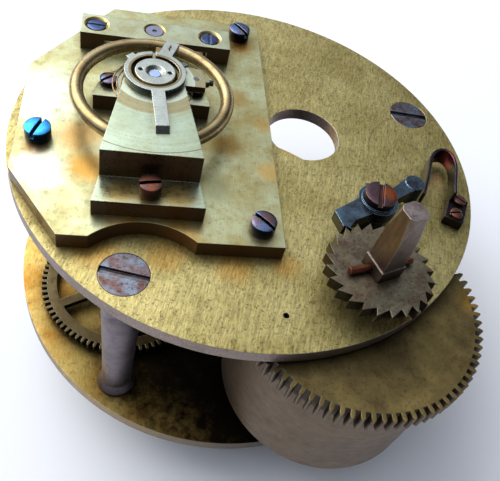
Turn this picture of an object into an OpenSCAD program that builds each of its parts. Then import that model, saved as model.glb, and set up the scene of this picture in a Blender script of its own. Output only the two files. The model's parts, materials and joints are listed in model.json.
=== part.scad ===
// Mantel clock movement: round plates on three pillars, going barrel, train and a lever platform.
// Millimetres. Z runs up from the dial side to the back plate; the origin is the middle of the
// centre arbor on the dial side of the front plate. X runs along the long edge of the platform.

/* [Plates and pillars] */
// diameter of both plates
plate_d = 70.2; // [69:0.2:74]
// thickness of the front plate
front_t = 2.2; // [1.8:0.1:2.6]
// thickness of the back plate
back_t = 2.0; // [1.6:0.1:2.4]
// clear height between the plates
pillar_len = 28; // [26:0.5:32]
// radius of a pillar where it meets the back plate
pillar_r = 3.0; // [2.4:0.1:3.2]
// distance of the pillars from the middle
pillar_ring = 30.5; // [30.1:0.1:30.9]
// diameter of the viewing hole in the back plate
view_hole_d = 11.52; // [8:0.1:12]
// diameter of the two dial foot holes
dial_hole_d = 2.1; // [1.6:0.1:2.6]
// distance of the dial foot holes in from the edge of the plates
dial_hole_inset = 3.1; // [2.6:0.1:5]

/* [Barrel and winding] */
// distance of the barrel from the middle
barrel_dist = 28.65; // [28:0.05:29.2]
// teeth of the great wheel
great_teeth = 80; // [72:1:84]
// pitch radius of the great wheel
great_r = 17; // [16.6:0.05:17.2]
// thickness of the great wheel rim
great_t = 3; // [2.4:0.1:3.4]
// outer radius of the barrel drum
drum_r = 15.8; // [14.6:0.1:15.9]
// teeth of the ratchet wheel
ratchet_teeth = 24; // [20:1:28]
// radius over the ratchet teeth
ratchet_r = 7.34; // [7:0.02:7.6]
// thickness of the ratchet wheel
ratchet_t = 1.8; // [1.4:0.1:2.2]
// side of the winding square at its top
square_w = 2.8; // [2.2:0.1:3]
// height of the winding square above the back plate
square_top = 16; // [13:0.5:18]

/* [Going train] */
// distance of the intermediate wheel from the middle
inter_dist = 18.85; // [18.6:0.05:18.9]
// distance of the third wheel from the middle
third_dist = 18.7; // [18.5:0.05:18.9]
// distance from the third wheel to the fourth
fourth_dist = 14.92; // [14.8:0.02:15.1]
// thickness of the train wheels
wheel_t = 0.9; // [0.7:0.05:1]
// length of the hand arbor below the front plate
hand_len = 8.6; // [7.8:0.1:12]

/* [Lever platform] */
// thickness of the platform
platform_t = 2.5; // [2:0.1:3]
// outer radius of the balance rim
balance_r = 11.48; // [11:0.02:11.6]
// diameter of the round section of the balance rim
rim_d = 1.95; // [1.6:0.05:2]
// radius of the outer coil of the hairspring
coil_r = 5.8; // [5.4:0.05:6]
// turns of the hairspring
coil_turns = 8; // [5:1:8]
// tip radius of the escape wheel
escape_r = 4.1; // [3.9:0.02:4.1]
// swing of the pallet lever drawn in its rest position
lever_rest = 0; // [-4:1:4]
// turn of the regulating index away from the middle
index_turn = 0; // [-15:1:15]

/* [Hidden] */
$fn = 64;

brass = [0.76, 0.64, 0.36];
pale_brass = [0.83, 0.74, 0.48];
steel = [0.55, 0.55, 0.56];
dark_steel = [0.22, 0.22, 0.24];
blued = [0.16, 0.27, 0.45];
rust = [0.42, 0.28, 0.22];
jewel = [0.62, 0.10, 0.18];
pale_stone = [0.70, 0.76, 0.88];

// running clearance on the radius
fit = 0.03;

// heights of the faces that other pieces stand on
zb = front_t + pillar_len;
zt = zb + back_t;
zp = zt + platform_t;
dial_hole_ring = plate_d / 2 - dial_hole_inset;

function polar(r, a) = [r * cos(a), r * sin(a)];
function at(p, z) = [p[0], p[1], z];
function bearing(p, q) = atan2(q[1] - p[1], q[0] - p[0]);
// the point rp from p and rq from q, on the left (side 1) or right (side -1) of the way p to q
function meet(p, rp, q, rq, side) =
    let(d = norm(q - p), a = (rp * rp - rq * rq + d * d) / (2 * d), h = sqrt(rp * rp - a * a),
        u = (q - p) / d) p + a * u + side * h * [-u[1], u[0]];
// turn of a driven gear whose gap faces the driver's tooth; turn of the driver is known
function mesh_turn(turn, n, n2, way) = way + 180 + 180 / n2 - (turn - way) * n / n2;

// teeth of the train
inter_leaves = 10;
inter_teeth = 60;
centre_leaves = 12;
centre_teeth = 80;
third_leaves = 10;
third_teeth = 80;
fourth_leaves = 8;
fourth_teeth = 60;
escape_leaves = 8;
escape_teeth = 15;
cannon_leaves = 12;
minute_teeth = 36;
minute_leaves = 10;
hour_teeth = 40;

// places of the arbors in plan
O = [0, 0];
B = polar(barrel_dist, -60.75);
inter_pin_r = great_r * inter_leaves / great_teeth;
P = meet(B, great_r + inter_pin_r, O, inter_dist, -1);
W = polar(third_dist, 201.35);
A = [-15.4, 1.7];
E = A + [0, 16.7];
L = A + [0, 12.6 - escape_r / 4.1 * 0.65];
fourth_to_escape = 11;
G = meet(W, fourth_dist, E, fourth_to_escape, 1);
minute_dist = 9.6;
M = polar(minute_dist, 150);

// pitch radii follow from the distances and the teeth
inter_r = inter_dist * inter_teeth / (inter_teeth + centre_leaves);
centre_pin_r = inter_dist - inter_r;
centre_r = third_dist * centre_teeth / (centre_teeth + third_leaves);
third_pin_r = third_dist - centre_r;
third_r = fourth_dist * third_teeth / (third_teeth + fourth_leaves);
fourth_pin_r = fourth_dist - third_r;
fourth_r = fourth_to_escape * fourth_teeth / (fourth_teeth + escape_leaves);
escape_pin_r = fourth_to_escape - fourth_r;
cannon_r = minute_dist * cannon_leaves / (cannon_leaves + minute_teeth);
minute_r = minute_dist - cannon_r;
minute_pin_r = minute_dist * minute_leaves / (minute_leaves + hour_teeth);
hour_r = minute_dist - minute_pin_r;

// turns of the wheels so that every pair is in mesh at rest
great_turn = 3.58;
inter_turn = mesh_turn(great_turn, great_teeth, inter_leaves, bearing(B, P));
centre_turn = mesh_turn(inter_turn, inter_teeth, centre_leaves, bearing(P, O));
third_turn = mesh_turn(centre_turn, centre_teeth, third_leaves, bearing(O, W));
fourth_turn = mesh_turn(third_turn, third_teeth, fourth_leaves, bearing(W, G));
escape_turn = mesh_turn(fourth_turn, fourth_teeth, escape_leaves, bearing(G, E));
minute_turn = mesh_turn(centre_turn, cannon_leaves, minute_teeth, bearing(O, M));
hour_turn = mesh_turn(minute_turn, minute_leaves, hour_teeth, bearing(M, O));

// heights of the train
third_z = front_t + 1.0;
inter_z = front_t + 2.7;
centre_z = inter_z + 1.3;
drum_z = centre_z + 1.4;
great_z = zb - 0.7 - great_t;
fourth_z = zb - 3.2;

// outline of a gear: half widths of a tooth are shares of the pitch at root, pitch, shoulder, tip
function gear_points(n, rp, add, ded, half, turn) = [for (i = [0 : n - 1]) for (k = [0 : 7])
    let(s = k < 4 ? k : 7 - k,
        r = [rp - ded, rp, rp + add * 0.62, rp + add][s],
        h = 360 / n * half * [1, 1, 0.7, 0.24][s],
        a = turn + i * 360 / n + (k < 4 ? -h : h)) [r * cos(a), r * sin(a)]];

module toothed(n, rp, t, turn) {
    m = 2 * rp / n;
    linear_extrude(t) polygon(gear_points(n, rp, m, 1.75 * m, 0.23, turn));
}

module leaves(n, rp, t, turn) {
    m = 2 * rp / n;
    linear_extrude(t) polygon(gear_points(n, rp, 0.75 * m, 1.3 * m, 0.17, turn));
}

// a wheel with spokes: teeth, rim, spokes and hub are one blank, with a bore for its arbor
module crossed_wheel(n, rp, t, turn, rim, spokes, spoke_w, hub, bore, spoke_turn) {
    m = 2 * rp / n;
    inner = rp - 1.75 * m - rim;
    difference() {
        toothed(n, rp, t, turn);
        difference() {
            translate([0, 0, -1]) cylinder(r = inner, h = t + 2);
            translate([0, 0, -2]) cylinder(r = hub, h = t + 4);
            for (i = [0 : spokes - 1]) rotate(spoke_turn + i * 360 / spokes)
                translate([0, -spoke_w / 2, -2]) cube([inner + 1, spoke_w, t + 4]);
        }
        translate([0, 0, -1]) cylinder(r = bore, h = t + 2);
    }
}

// a slotted screw standing on the underside of its head
module slotted(head_r, head_h, shank_r, shank_l, slot_w, slot_a) {
    difference() {
        union() {
            cylinder(r = head_r, h = head_h);
            translate([0, 0, -shank_l]) cylinder(r = shank_r, h = shank_l + 0.1);
        }
        rotate(slot_a) translate([-head_r - 1, -slot_w / 2, head_h * 0.55])
            cube([2 * head_r + 2, slot_w, head_h]);
    }
}

pillar_angles = [-126, 21.5, 128];
pillar_screw_r = 3.23;
pillar_shank_r = 1.4;
tenon_r = 1.8;
pivot_third = 0.5;
pivot_fourth = 0.45;
pivot_inter = 0.45;
centre_pivot = 0.8;
hand_r = 1.2;
barrel_low_r = 2.0;
barrel_top_r = 2.3;
click_pivot = [16.1, -13.3];
click_shank_r = 0.95;
spring_foot = [30.28, -10.83];
foot_turn = 63.5;
foot_h = 1.6;
foot_screws = [[-1.72, 0], [1.3, 0]];
function foot_point(p) = spring_foot + [p[0] * cos(foot_turn) - p[1] * sin(foot_turn),
    p[0] * sin(foot_turn) + p[1] * cos(foot_turn)];
foot_shank_r = 0.6;
platform_right = A[0] + 17.9;
platform_left = 1.7 - plate_d / 2;
platform_back = E[1] + 8.9;
platform_front = A[1] - 22.75;
platform_screw_points = [[platform_left + 3, -4.5], [platform_right - 3.6, platform_back - 3.6],
    [platform_right - 3.05, platform_front + 2.85]];
platform_shank_r = 0.9;
potence_point = E + [5.9, 3.1];
potence_shank_r = 0.8;
stud_hole_r = 0.8;
escape_well_r = 2.6;

// the front plate carries the lower pivots and the dial feet, the back plate everything that shows
module front_plate() color(brass) difference() {
    cylinder(d = plate_d, h = front_t, $fn = 128);
    translate([0, 0, -1]) cylinder(r = hand_r + fit, h = front_t + 2);
    translate(at(B, -1)) cylinder(r = barrel_low_r + fit, h = front_t + 2);
    translate(at(P, -1)) cylinder(r = pivot_inter + fit, h = front_t + 2);
    translate(at(W, -1)) cylinder(r = pivot_third + fit, h = front_t + 2);
    translate(at(G, -1)) cylinder(r = pivot_fourth + fit, h = front_t + 2);
    translate(at(M, -1)) cylinder(r = stud_hole_r + 0.01, h = front_t + 2);
    for (a = pillar_angles) translate(at(polar(pillar_ring, a), -1))
        cylinder(r = tenon_r + 0.01, h = front_t + 2);
    for (a = [160, 340]) translate(at(polar(dial_hole_ring, a), -1))
        cylinder(d = dial_hole_d, h = front_t + 2);
}

module back_plate() color(brass) difference() {
    translate([0, 0, zb]) cylinder(d = plate_d, h = back_t, $fn = 128);
    translate([8.7, 3.8, zb - 1]) cylinder(d = view_hole_d, h = back_t + 2);
    translate([2.2, -29.7, zb - 1]) cylinder(r = 0.4, h = back_t + 2);
    translate([0, 0, zb - 1]) cylinder(r = centre_pivot + fit, h = back_t + 2);
    translate(at(B, zb - 1)) cylinder(r = barrel_top_r + fit, h = back_t + 2);
    translate(at(P, zb - 1)) cylinder(r = pivot_inter + fit, h = back_t + 2);
    translate(at(W, zb - 1)) cylinder(r = pivot_third + fit, h = back_t + 2);
    translate(at(G, zb - 1)) cylinder(r = pivot_fourth + fit, h = back_t + 2);
    translate(at(E, zb - 1)) cylinder(r = escape_well_r, h = back_t + 2);
    translate(at(click_pivot, zb - 1)) cylinder(r = click_shank_r + 0.01, h = back_t + 2);
    for (p = foot_screws) translate(at(foot_point(p), zb - 1))
        cylinder(r = foot_shank_r + 0.01, h = back_t + 2);
    for (p = platform_screw_points) translate(at(p, zb - 1))
        cylinder(r = platform_shank_r + 0.01, h = back_t + 2);
    translate(at(potence_point, zb - 1)) cylinder(r = potence_shank_r + 0.01, h = back_t + 2);
    for (a = pillar_angles) translate(at(polar(pillar_ring, a), zb)) {
        translate([0, 0, -1]) cylinder(r = pillar_shank_r + 0.05, h = back_t + 2);
        translate([0, 0, back_t - 1.1]) cylinder(r = pillar_screw_r + 0.03, h = 2);
    }
}

// turned pillars: rounded foot on the front plate, body widening a little to the back plate
module pillars() color(steel) for (a = pillar_angles) translate(at(polar(pillar_ring, a), 0))
    difference() {
        rotate_extrude() polygon([[0, 0.05], [tenon_r, 0.05], [tenon_r, front_t], [2.9, front_t],
            [2.9, front_t + 0.7], [2.6, front_t + 1.3], [2.3, front_t + 2], [2.35, front_t + 8],
            [pillar_r - 0.15, zb - 3], [pillar_r, zb - 0.6], [pillar_r, zb], [0, zb]]);
        translate([0, 0, zb - 6]) cylinder(r = pillar_shank_r + 0.01, h = 8);
    }

// flat screws that fill the sinks of the back plate
module pillar_screws() color(steel) for (a = pillar_angles)
    translate(at(polar(pillar_ring, a), zt - 1.1))
        slotted(pillar_screw_r, 1.1, pillar_shank_r, 5.5, 0.9, -12.5);

// going barrel: the drum and the great wheel are one piece, open at the dial side for the cover
drum_wall = 0.9;
cover_t = 1.2;
core_r = 4.6;
module barrel_drum() color(brass) translate(at(B, 0)) difference() {
    union() {
        translate([0, 0, great_z]) toothed(great_teeth, great_r, great_t, great_turn);
        translate([0, 0, drum_z]) cylinder(r = drum_r, h = great_z - drum_z + 0.5, $fn = 96);
    }
    translate([0, 0, drum_z + cover_t]) cylinder(r = drum_r - drum_wall, h = great_z + great_t - 1.6
        - drum_z - cover_t, $fn = 96);
    translate([0, 0, drum_z - 1]) cylinder(r = drum_r - 0.5, h = cover_t + 1, $fn = 96);
    translate([0, 0, zb - 6]) cylinder(r = barrel_top_r + fit, h = 8);
}

// the cover snaps into the drum; the slot at its edge is for prising it out
module barrel_cover() color(pale_brass) translate(at(B, drum_z)) difference() {
    cylinder(r = drum_r - 0.52, h = cover_t - 0.01, $fn = 96);
    translate([0, 0, -1]) cylinder(r = barrel_top_r + fit, h = cover_t + 2);
    rotate(-74) translate([drum_r - 2.2, -1.5, -1]) cube([4, 3, cover_t + 2]);
}

// mainspring run down: its coils lie against the drum wall and the inner end reaches the core
spring_turns = 8;
function main_radius(a) = a < 300
    ? core_r + 0.35 + (drum_r - drum_wall - 0.95 * spring_turns + 0.3 - core_r) * pow(a / 300, 1.4)
    : drum_r - drum_wall - 0.95 * spring_turns + 0.65 + (a - 300) / 360 * 0.95;
function main_radius_capped(a) = min(main_radius(a), drum_r - drum_wall - 0.35);
main_end = 300 + 360 * (spring_turns - 1.05);
module mainspring() color(dark_steel) translate(at(B, drum_z + cover_t + 0.5))
    linear_extrude(great_z + great_t - 1.6 - drum_z - cover_t - 1) polygon(concat(
        [for (a = [0 : 12 : main_end]) polar(main_radius_capped(a) - 0.2, a)],
        [for (a = [floor(main_end / 12) * 12 : -12 : 0]) polar(main_radius_capped(a) + 0.2, a)]));

// barrel arbor: pivots, core with its hook, the square for the ratchet and the winding square
seat_z = zt + 2.9;
seat_w = 3.7;
square_turn = 22;
pin_z = seat_z + ratchet_t + 0.62;
module barrel_arbor() color(steel) translate(at(B, 0)) difference() {
    union() {
        translate([0, 0, 0.05]) cylinder(r = barrel_low_r, h = drum_z);
        translate([0, 0, front_t + 0.1]) cylinder(r = barrel_top_r, h = zt + 1.2 - front_t - 0.1);
        translate([0, 0, drum_z + cover_t + 0.1])
            cylinder(r = core_r, h = great_z + great_t - 1.6 - drum_z - cover_t - 0.2);
        rotate(square_turn) translate([0, 0, (zt + seat_z + 3.8) / 2])
            cube([seat_w, seat_w, seat_z + 3.8 - zt - 0.2], center = true);
        intersection() {
            rotate(square_turn) translate([0, 0, seat_z + 3]) linear_extrude(
                zt + square_top - seat_z - 3, scale = square_w / 3.4) square(3.4, center = true);
            cylinder(r1 = 8, r2 = square_w * 0.56, h = zt + square_top);
        }
    }
    translate([0, 0, pin_z]) rotate(194) rotate([0, 90, 0])
        translate([0, 0, -10]) cylinder(r = 0.56, h = 20);
}

root_depth = 1.14;
ratchet_turn = -0.7;
// tip, slope falling counter-clockwise, then the steep face up to the next tip
module ratchet_wheel() color(steel) translate(at(B, 0)) difference() {
    union() {
        translate([0, 0, seat_z]) linear_extrude(ratchet_t) polygon([for (i = [0 : ratchet_teeth - 1])
            for (k = [0, 1]) polar(k == 0 ? ratchet_r : ratchet_r - root_depth,
                ratchet_turn + (i + k * 0.96) * 360 / ratchet_teeth)]);
        translate([0, 0, zt + 0.1]) cylinder(r = 3.4, h = seat_z - zt);
    }
    translate([0, 0, zt - 1]) cylinder(r = barrel_top_r + fit, h = 2.25);
    rotate(square_turn) translate([0, 0, zt + 4])
        cube([seat_w + 0.04, seat_w + 0.04, 9], center = true);
}

// a taper pin across the arbor holds the ratchet wheel down
module ratchet_pin() color(rust) translate(at(B, pin_z)) rotate(194) rotate([0, 90, 0])
    translate([0, 0, -4.4]) cylinder(r1 = 0.42, r2 = 0.54, h = 9.2);

// click: a beak that drops into the ratchet, a hub on its screw and a tail post for the spring
beak_angle = ratchet_turn + 360 / ratchet_teeth * round(120 * ratchet_teeth / 360);
click_eye_r = 2.9;
click_hub_r = 2.45;
click_hub_h = 4.95;
tail = [22.5, -9.5];
tail_r = 1.45;
module click() color(dark_steel) difference() {
    union() {
        translate([0, 0, seat_z]) linear_extrude(ratchet_t) polygon([
            B + polar(ratchet_r - root_depth + 0.5, beak_angle - 5.2),
            B + polar(ratchet_r + 0.12, beak_angle - 1.4), B + polar(ratchet_r + 0.25, beak_angle + 1.5),
            [9.3, -15.8], [13.1, -13.3], [14.2, -11.6], [18.4, -11.2], tail + [-1, 1.0],
            tail + [1.2, -0.6], tail + [-0.2, -1.3], [18.8, -13.0], [17, -15.5], [14.9, -15.8],
            B + polar(ratchet_r + 0.6, beak_angle - 15), B + polar(ratchet_r - 0.25, beak_angle - 5)]);
        translate(at(click_pivot, seat_z)) cylinder(r = click_eye_r, h = ratchet_t);
        translate(at(click_pivot, zt)) cylinder(r = click_hub_r, h = click_hub_h);
        translate(at(tail, zt + 1.6)) cylinder(r = tail_r, h = 3.2);
    }
    translate(at(click_pivot, zt - 1)) cylinder(r = 1.3 + fit, h = 9);
}

// shouldered screw: its shank is the pivot of the click
module click_screw() color(rust) translate(at(click_pivot, zt)) {
    translate([0, 0, click_hub_h + 0.05]) slotted(2.28, 1.0, 1.3, click_hub_h + 0.05, 0.72, 75.7);
    translate([0, 0, -back_t + 0.1]) cylinder(r = click_shank_r, h = back_t);
}

// click spring: a thin strip on edge, bent back on itself, that leans on the tail post
strip_t = 0.5;
function bez(p, t) = pow(1 - t, 3) * p[0] + 3 * t * pow(1 - t, 2) * p[1]
    + 3 * t * t * (1 - t) * p[2] + pow(t, 3) * p[3];
strip_parts = [[[24.25, -10.35], [25.0, -8.8], [26.3, -5.6], [27.2, -3.3]],
    [[27.2, -3.3], [28.5, 0.3], [31.9, 0.6], [31.4, -3.2]],
    [[31.4, -3.2], [31.2, -5.2], [29.9, -7.6], [29.6, -9.6]]];
strip_line = [for (i = [0 : 2]) for (t = [0 : 0.125 : (i == 2 ? 1 : 0.9)]) bez(strip_parts[i], t)];
strip_n = len(strip_line);
function strip_side(i) = let(a = strip_line[max(i - 1, 0)], b = strip_line[min(i + 1, strip_n - 1)],
    u = (b - a) / norm(b - a)) [-u[1], u[0]] * strip_t / 2;
module click_spring() color(dark_steel) {
    difference() {
        union() {
            translate([0, 0, zt + 0.8]) linear_extrude(2.8) polygon(concat(
                [for (i = [0 : strip_n - 1]) strip_line[i] + strip_side(i)],
                [for (i = [strip_n - 1 : -1 : 0]) strip_line[i] - strip_side(i)]));
            translate(at(spring_foot, zt)) rotate(foot_turn) translate([-2.7, -1.47, 0])
                cube([5, 2.94, foot_h]);
        }
        for (p = foot_screws) translate(at(foot_point(p), zt - 1))
            cylinder(r = foot_shank_r + 0.03, h = 9);
    }
}

module click_spring_screws() color(rust) for (i = [0, 1])
    translate(at(foot_point(foot_screws[i]), zt + foot_h))
        slotted(0.95, 0.6, foot_shank_r, foot_h + back_t - 0.1, 0.3, [3, -42][i]);

// arbors of the train, each turned with its pinion cut on it
module intermediate_arbor() color(steel) translate(at(P, 0)) {
    translate([0, 0, 0.1]) cylinder(r = pivot_inter, h = zt - 0.15);
    translate([0, 0, front_t + 0.2]) cylinder(r = 0.9, h = zb - front_t - 0.4);
    translate([0, 0, drum_z]) cylinder(r = 1.3, h = great_z - drum_z);
    translate([0, 0, great_z - 0.3]) leaves(inter_leaves, inter_pin_r, great_t + 0.6, inter_turn);
}

module intermediate_wheel() color(brass) translate(at(P, inter_z)) {
    crossed_wheel(inter_teeth, inter_r, 0.8, inter_turn, 1.9, 5, 1.8, 3.2, 0.91, 10);
    translate([0, 0, -1.2]) difference() {
        cylinder(r = 1.9, h = 1.25);
        translate([0, 0, -1]) cylinder(r = 0.91, h = 4);
    }
}

module centre_arbor() color(steel) {
    translate([0, 0, front_t + 0.2]) cylinder(r = 1.5, h = zb - front_t - 0.5);
    translate([0, 0, -0.9]) cylinder(r = hand_r, h = front_t + 1.4);
    translate([0, 0, -hand_len]) cylinder(r = 1, h = hand_len);
    translate([0, 0, zb - 1]) cylinder(r = centre_pivot, h = back_t + 0.9);
    translate([0, 0, inter_z - 0.3]) leaves(centre_leaves, centre_pin_r, 1.55, centre_turn);
}

module centre_wheel() color(brass) translate([0, 0, centre_z]) {
    crossed_wheel(centre_teeth, centre_r, wheel_t, centre_turn, 1.9, 6, 1.7, 3.4, 1.51, 30);
    translate([0, 0, wheel_t - 0.05]) difference() {
        cylinder(r = 2.6, h = 1.4);
        translate([0, 0, -1]) cylinder(r = 1.51, h = 4);
    }
}

module third_arbor() color(steel) translate(at(W, 0)) {
    translate([0, 0, 0.1]) cylinder(r = pivot_third, h = zt - 0.15);
    translate([0, 0, front_t + 0.2]) cylinder(r = 0.95, h = zb - front_t - 0.4);
    translate([0, 0, centre_z - 0.7]) leaves(third_leaves, third_pin_r, wheel_t + 1.4, third_turn);
}

module third_wheel() color(brass) translate(at(W, third_z)) {
    crossed_wheel(third_teeth, third_r, 1, third_turn, 1.57, 5, 1.5, 2.6, 0.96, 207);
    translate([0, 0, 0.95]) difference() {
        cylinder(r = 1.7, h = 0.8);
        translate([0, 0, -1]) cylinder(r = 0.96, h = 4);
    }
}

module fourth_arbor() color(steel) translate(at(G, 0)) {
    translate([0, 0, 0.1]) cylinder(r = pivot_fourth, h = zt - 0.15);
    translate([0, 0, front_t + 0.2]) cylinder(r = 0.8, h = zb - front_t - 0.4);
    translate([0, 0, third_z - 0.6]) leaves(fourth_leaves, fourth_pin_r, 2.2, fourth_turn);
}

module fourth_wheel() color(brass) translate(at(G, fourth_z)) {
    crossed_wheel(fourth_teeth, fourth_r, 0.8, fourth_turn, 1.2, 4, 1.2, 2.2, 0.81, 15);
    translate([0, 0, -1]) difference() {
        cylinder(r = 1.6, h = 1.05);
        translate([0, 0, -1]) cylinder(r = 0.81, h = 4);
    }
}

// the escape arbor runs from a potence between the plates up to its bridge on the platform
escape_z = zp + 0.6;
escape_t = 0.45;
potence_z = zb - 5.2;
potence_t = 1.4;
bridge_h = 3.0;
module escape_arbor() color(steel) translate(at(E, 0)) {
    translate([0, 0, potence_z + 0.2]) cylinder(r = 0.35, h = zp + bridge_h - potence_z - 0.5);
    translate([0, 0, potence_z + potence_t + 0.15])
        cylinder(r = 0.7, h = zp + 1.6 - potence_z - potence_t);
    translate([0, 0, fourth_z - 0.4]) leaves(escape_leaves, escape_pin_r, 1.7, escape_turn);
}

// fifteen club teeth leaning the way the wheel turns
escape_phase = -114;
module escape_wheel() color(pale_brass) translate(at(E, escape_z)) difference() {
    linear_extrude(escape_t) polygon([for (i = [0 : escape_teeth - 1]) for (k = [0 : 3])
        polar([escape_r * 0.78, escape_r * 0.95, escape_r, escape_r * 0.78][k],
            escape_phase + i * 360 / escape_teeth + [-4.6, -1.2, 0.9, 2.6][k])]);
    difference() {
        translate([0, 0, -1]) cylinder(r = escape_r * 0.64, h = 3);
        translate([0, 0, -2]) cylinder(r = 1.3, h = 5);
        for (i = [0 : 3]) rotate(i * 90) translate([0, -0.3, -2]) cube([4, 0.6, 5]);
    }
    translate([0, 0, -1]) cylinder(r = 0.71, h = 3);
}

// the potence hangs from the back plate and holds the lower pivot of the escape arbor
module escape_potence() color(brass) difference() {
    union() {
        translate(at(potence_point, potence_z)) cylinder(r = 2.3, h = zb - potence_z);
        translate(at(E, potence_z)) cylinder(r = 1.7, h = potence_t);
        translate(at(E, potence_z)) rotate(bearing(E, potence_point))
            translate([0, -1.6, 0]) cube([norm(potence_point - E), 3.2, potence_t]);
    }
    translate(at(potence_point, potence_z - 1)) cylinder(r = potence_shank_r + 0.04, h = 12);
    translate(at(E, potence_z - 1)) cylinder(r = 0.35 + fit, h = 4);
}

module potence_screw() color(steel) translate(at(potence_point, potence_z)) mirror([0, 0, 1])
    slotted(1.7, 1.1, potence_shank_r, zt - potence_z - 0.2, 0.4, 70);

// platform: one brass plate, its corners cut to the round of the movement, with a round relief
// in its front edge beside the pillar
jewel_r = 1.35;
relief_r = 9.7;
relief_x = A[0] - 0.45;
front_corner_in = 1.6;
function rim_at(v) = sqrt(pow(plate_d / 2 - 0.05, 2) - v * v);
module platform_plate() color(pale_brass) difference() {
    translate([0, 0, zt]) linear_extrude(platform_t) polygon([[platform_right, platform_back],
        [-rim_at(platform_back), platform_back], [platform_left, rim_at(platform_left)],
        [platform_left, -rim_at(platform_left)],
        [front_corner_in - rim_at(platform_front), platform_front],
        [platform_right, platform_front]]);
    translate([relief_x, platform_front - 6.95, zt - 1])
        cylinder(r = relief_r, h = platform_t + 2, $fn = 96);
    for (p = platform_screw_points) translate(at(p, zt - 1))
        cylinder(r = platform_shank_r + 0.05, h = platform_t + 2);
    translate(at(A, zp - 1.2)) cylinder(r = jewel_r + 0.01, h = 3);
    translate(at(L, zp - 1.2)) cylinder(r = 0.9 + 0.01, h = 3);
    translate(at(E, zt - 1)) cylinder(r = 2, h = platform_t + 2);
    translate([A[0], A[1] - 17.3, zt - 1]) cylinder(r = 0.85, h = platform_t + 2);
    for (x = [-6.3, 6.3]) translate([A[0] + x, 5, zt - 1]) cylinder(r = 0.65, h = platform_t + 2);
    for (x = [-8.9, 8.8]) translate([E[0] + x, 18.2, zt - 1])
        cylinder(r = 0.75, h = platform_t + 2);
    for (x = [-1, 1]) translate([A[0] + x * 1.27, A[1] + 6.3, zt + 1]) cylinder(r = 0.26, h = 5);
}

module platform_screws() color(blued) for (i = [0 : 2]) translate(at(platform_screw_points[i], zp))
    slotted(1.75, 1.8, platform_shank_r, platform_t + back_t - 0.1, 0.5, [70, 110, 150][i]);

module banking_pins() color(steel) for (x = [-1, 1])
    translate([A[0] + x * 1.27, A[1] + 6.3, zt + 1.05]) cylinder(r = 0.25, h = zp - zt + 0.35);

module jewel_ring(r, bore, h) difference() {
    cylinder(r = r, h = h);
    translate([0, 0, -1]) cylinder(r = bore, h = h + 2);
}

// hole jewels, pressed into the platform, the bridges and the cock
module lower_jewels() color(jewel) {
    translate(at(A, zp - 1.2)) jewel_ring(jewel_r, 0.2 + fit, 1.2);
    translate(at(L, zp - 1.2)) jewel_ring(0.9, 0.2 + fit, 1.2);
}

// pallet lever: two arms over the escape wheel, a long tail and the fork at the roller
lever_z = escape_z + escape_t + 0.12;
lever_t = 0.45;
lever_len = norm(L - A) - 1.9;
module pallet_lever() color(steel) translate(at(L, lever_z)) rotate(lever_rest) difference() {
    union() {
        linear_extrude(lever_t) polygon([[-0.42, 0.3], [-0.35, -lever_len + 1.2],
            [-0.95, -lever_len + 0.2], [-0.85, -lever_len - 0.4], [-0.3, -lever_len - 0.1],
            [-0.28, -lever_len + 0.7], [0.28, -lever_len + 0.7], [0.3, -lever_len - 0.1],
            [0.85, -lever_len - 0.4], [0.95, -lever_len + 0.2], [0.35, -lever_len + 1.2],
            [0.42, 0.3]]);
        linear_extrude(lever_t) polygon([[-0.9, -0.5], [0.9, -0.5], [2.6, 0.55], [2.75, 1.6],
            [1.75, 1.6], [1.2, 0.8], [0, 0.55], [-1.2, 0.8], [-1.75, 1.6], [-2.75, 1.6],
            [-2.6, 0.55]]);
        cylinder(r = 0.85, h = lever_t);
    }
    translate([0, 0, -1]) cylinder(r = 0.31, h = 3);
}

module pallet_arbor() color(steel) translate(at(L, 0)) {
    translate([0, 0, zp - 1.1]) cylinder(r = 0.2, h = 3.4);
    translate([0, 0, zp + 0.12]) cylinder(r = 0.3, h = 1.55);
}

module pallet_stones() color(jewel) translate(at(L, escape_z)) rotate(lever_rest)
    for (s = [-1, 1]) {
        q = E - L + polar(escape_r + 0.04, -90 + s * 30);
        translate(at(q, 0)) rotate(-90 + s * 30) translate([0, -0.2, -0.1])
            cube([0.75, 0.4, escape_t + 0.22]);
    }

// the pallet bridge: half a disc behind the staff, hollow below for the lever, with a tongue
bridge_top = 2.55;
module pallet_bridge() color(brass) difference() {
    union() {
        intersection() {
            translate(at(A, zp)) cylinder(r = 8.35, h = bridge_top, $fn = 96);
            translate([A[0] - 10, A[1] + 0.35, zp]) cube([20, 20, bridge_top]);
        }
        translate([L[0] - 1.7, A[1] + 7, zp + bridge_top - 0.85]) cube([3.4, L[1] - A[1] - 7, 0.85]);
        translate(at(L, zp + bridge_top - 0.85)) cylinder(r = 1.7, h = 0.85);
    }
    translate([A[0] - 2.8, A[1] - 1, zp - 1]) cube([5.6, 12, bridge_top - 0.85 + 1]);
    translate(at(A, zp - 1)) cylinder(r = 2.6, h = 6);
    translate(at(L, zp)) cylinder(r = 0.71, h = 5);
    for (x = [-6.3, 6.3]) translate([A[0] + x, 5, zp - 1]) cylinder(r = 0.65, h = 6);
}

module pallet_bridge_screws() color(blued) for (x = [-6.3, 6.3])
    translate([A[0] + x, 5, zp + bridge_top]) slotted(1.25, 0.9, 0.62, bridge_top + 1.8, 0.4, 40);

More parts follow.
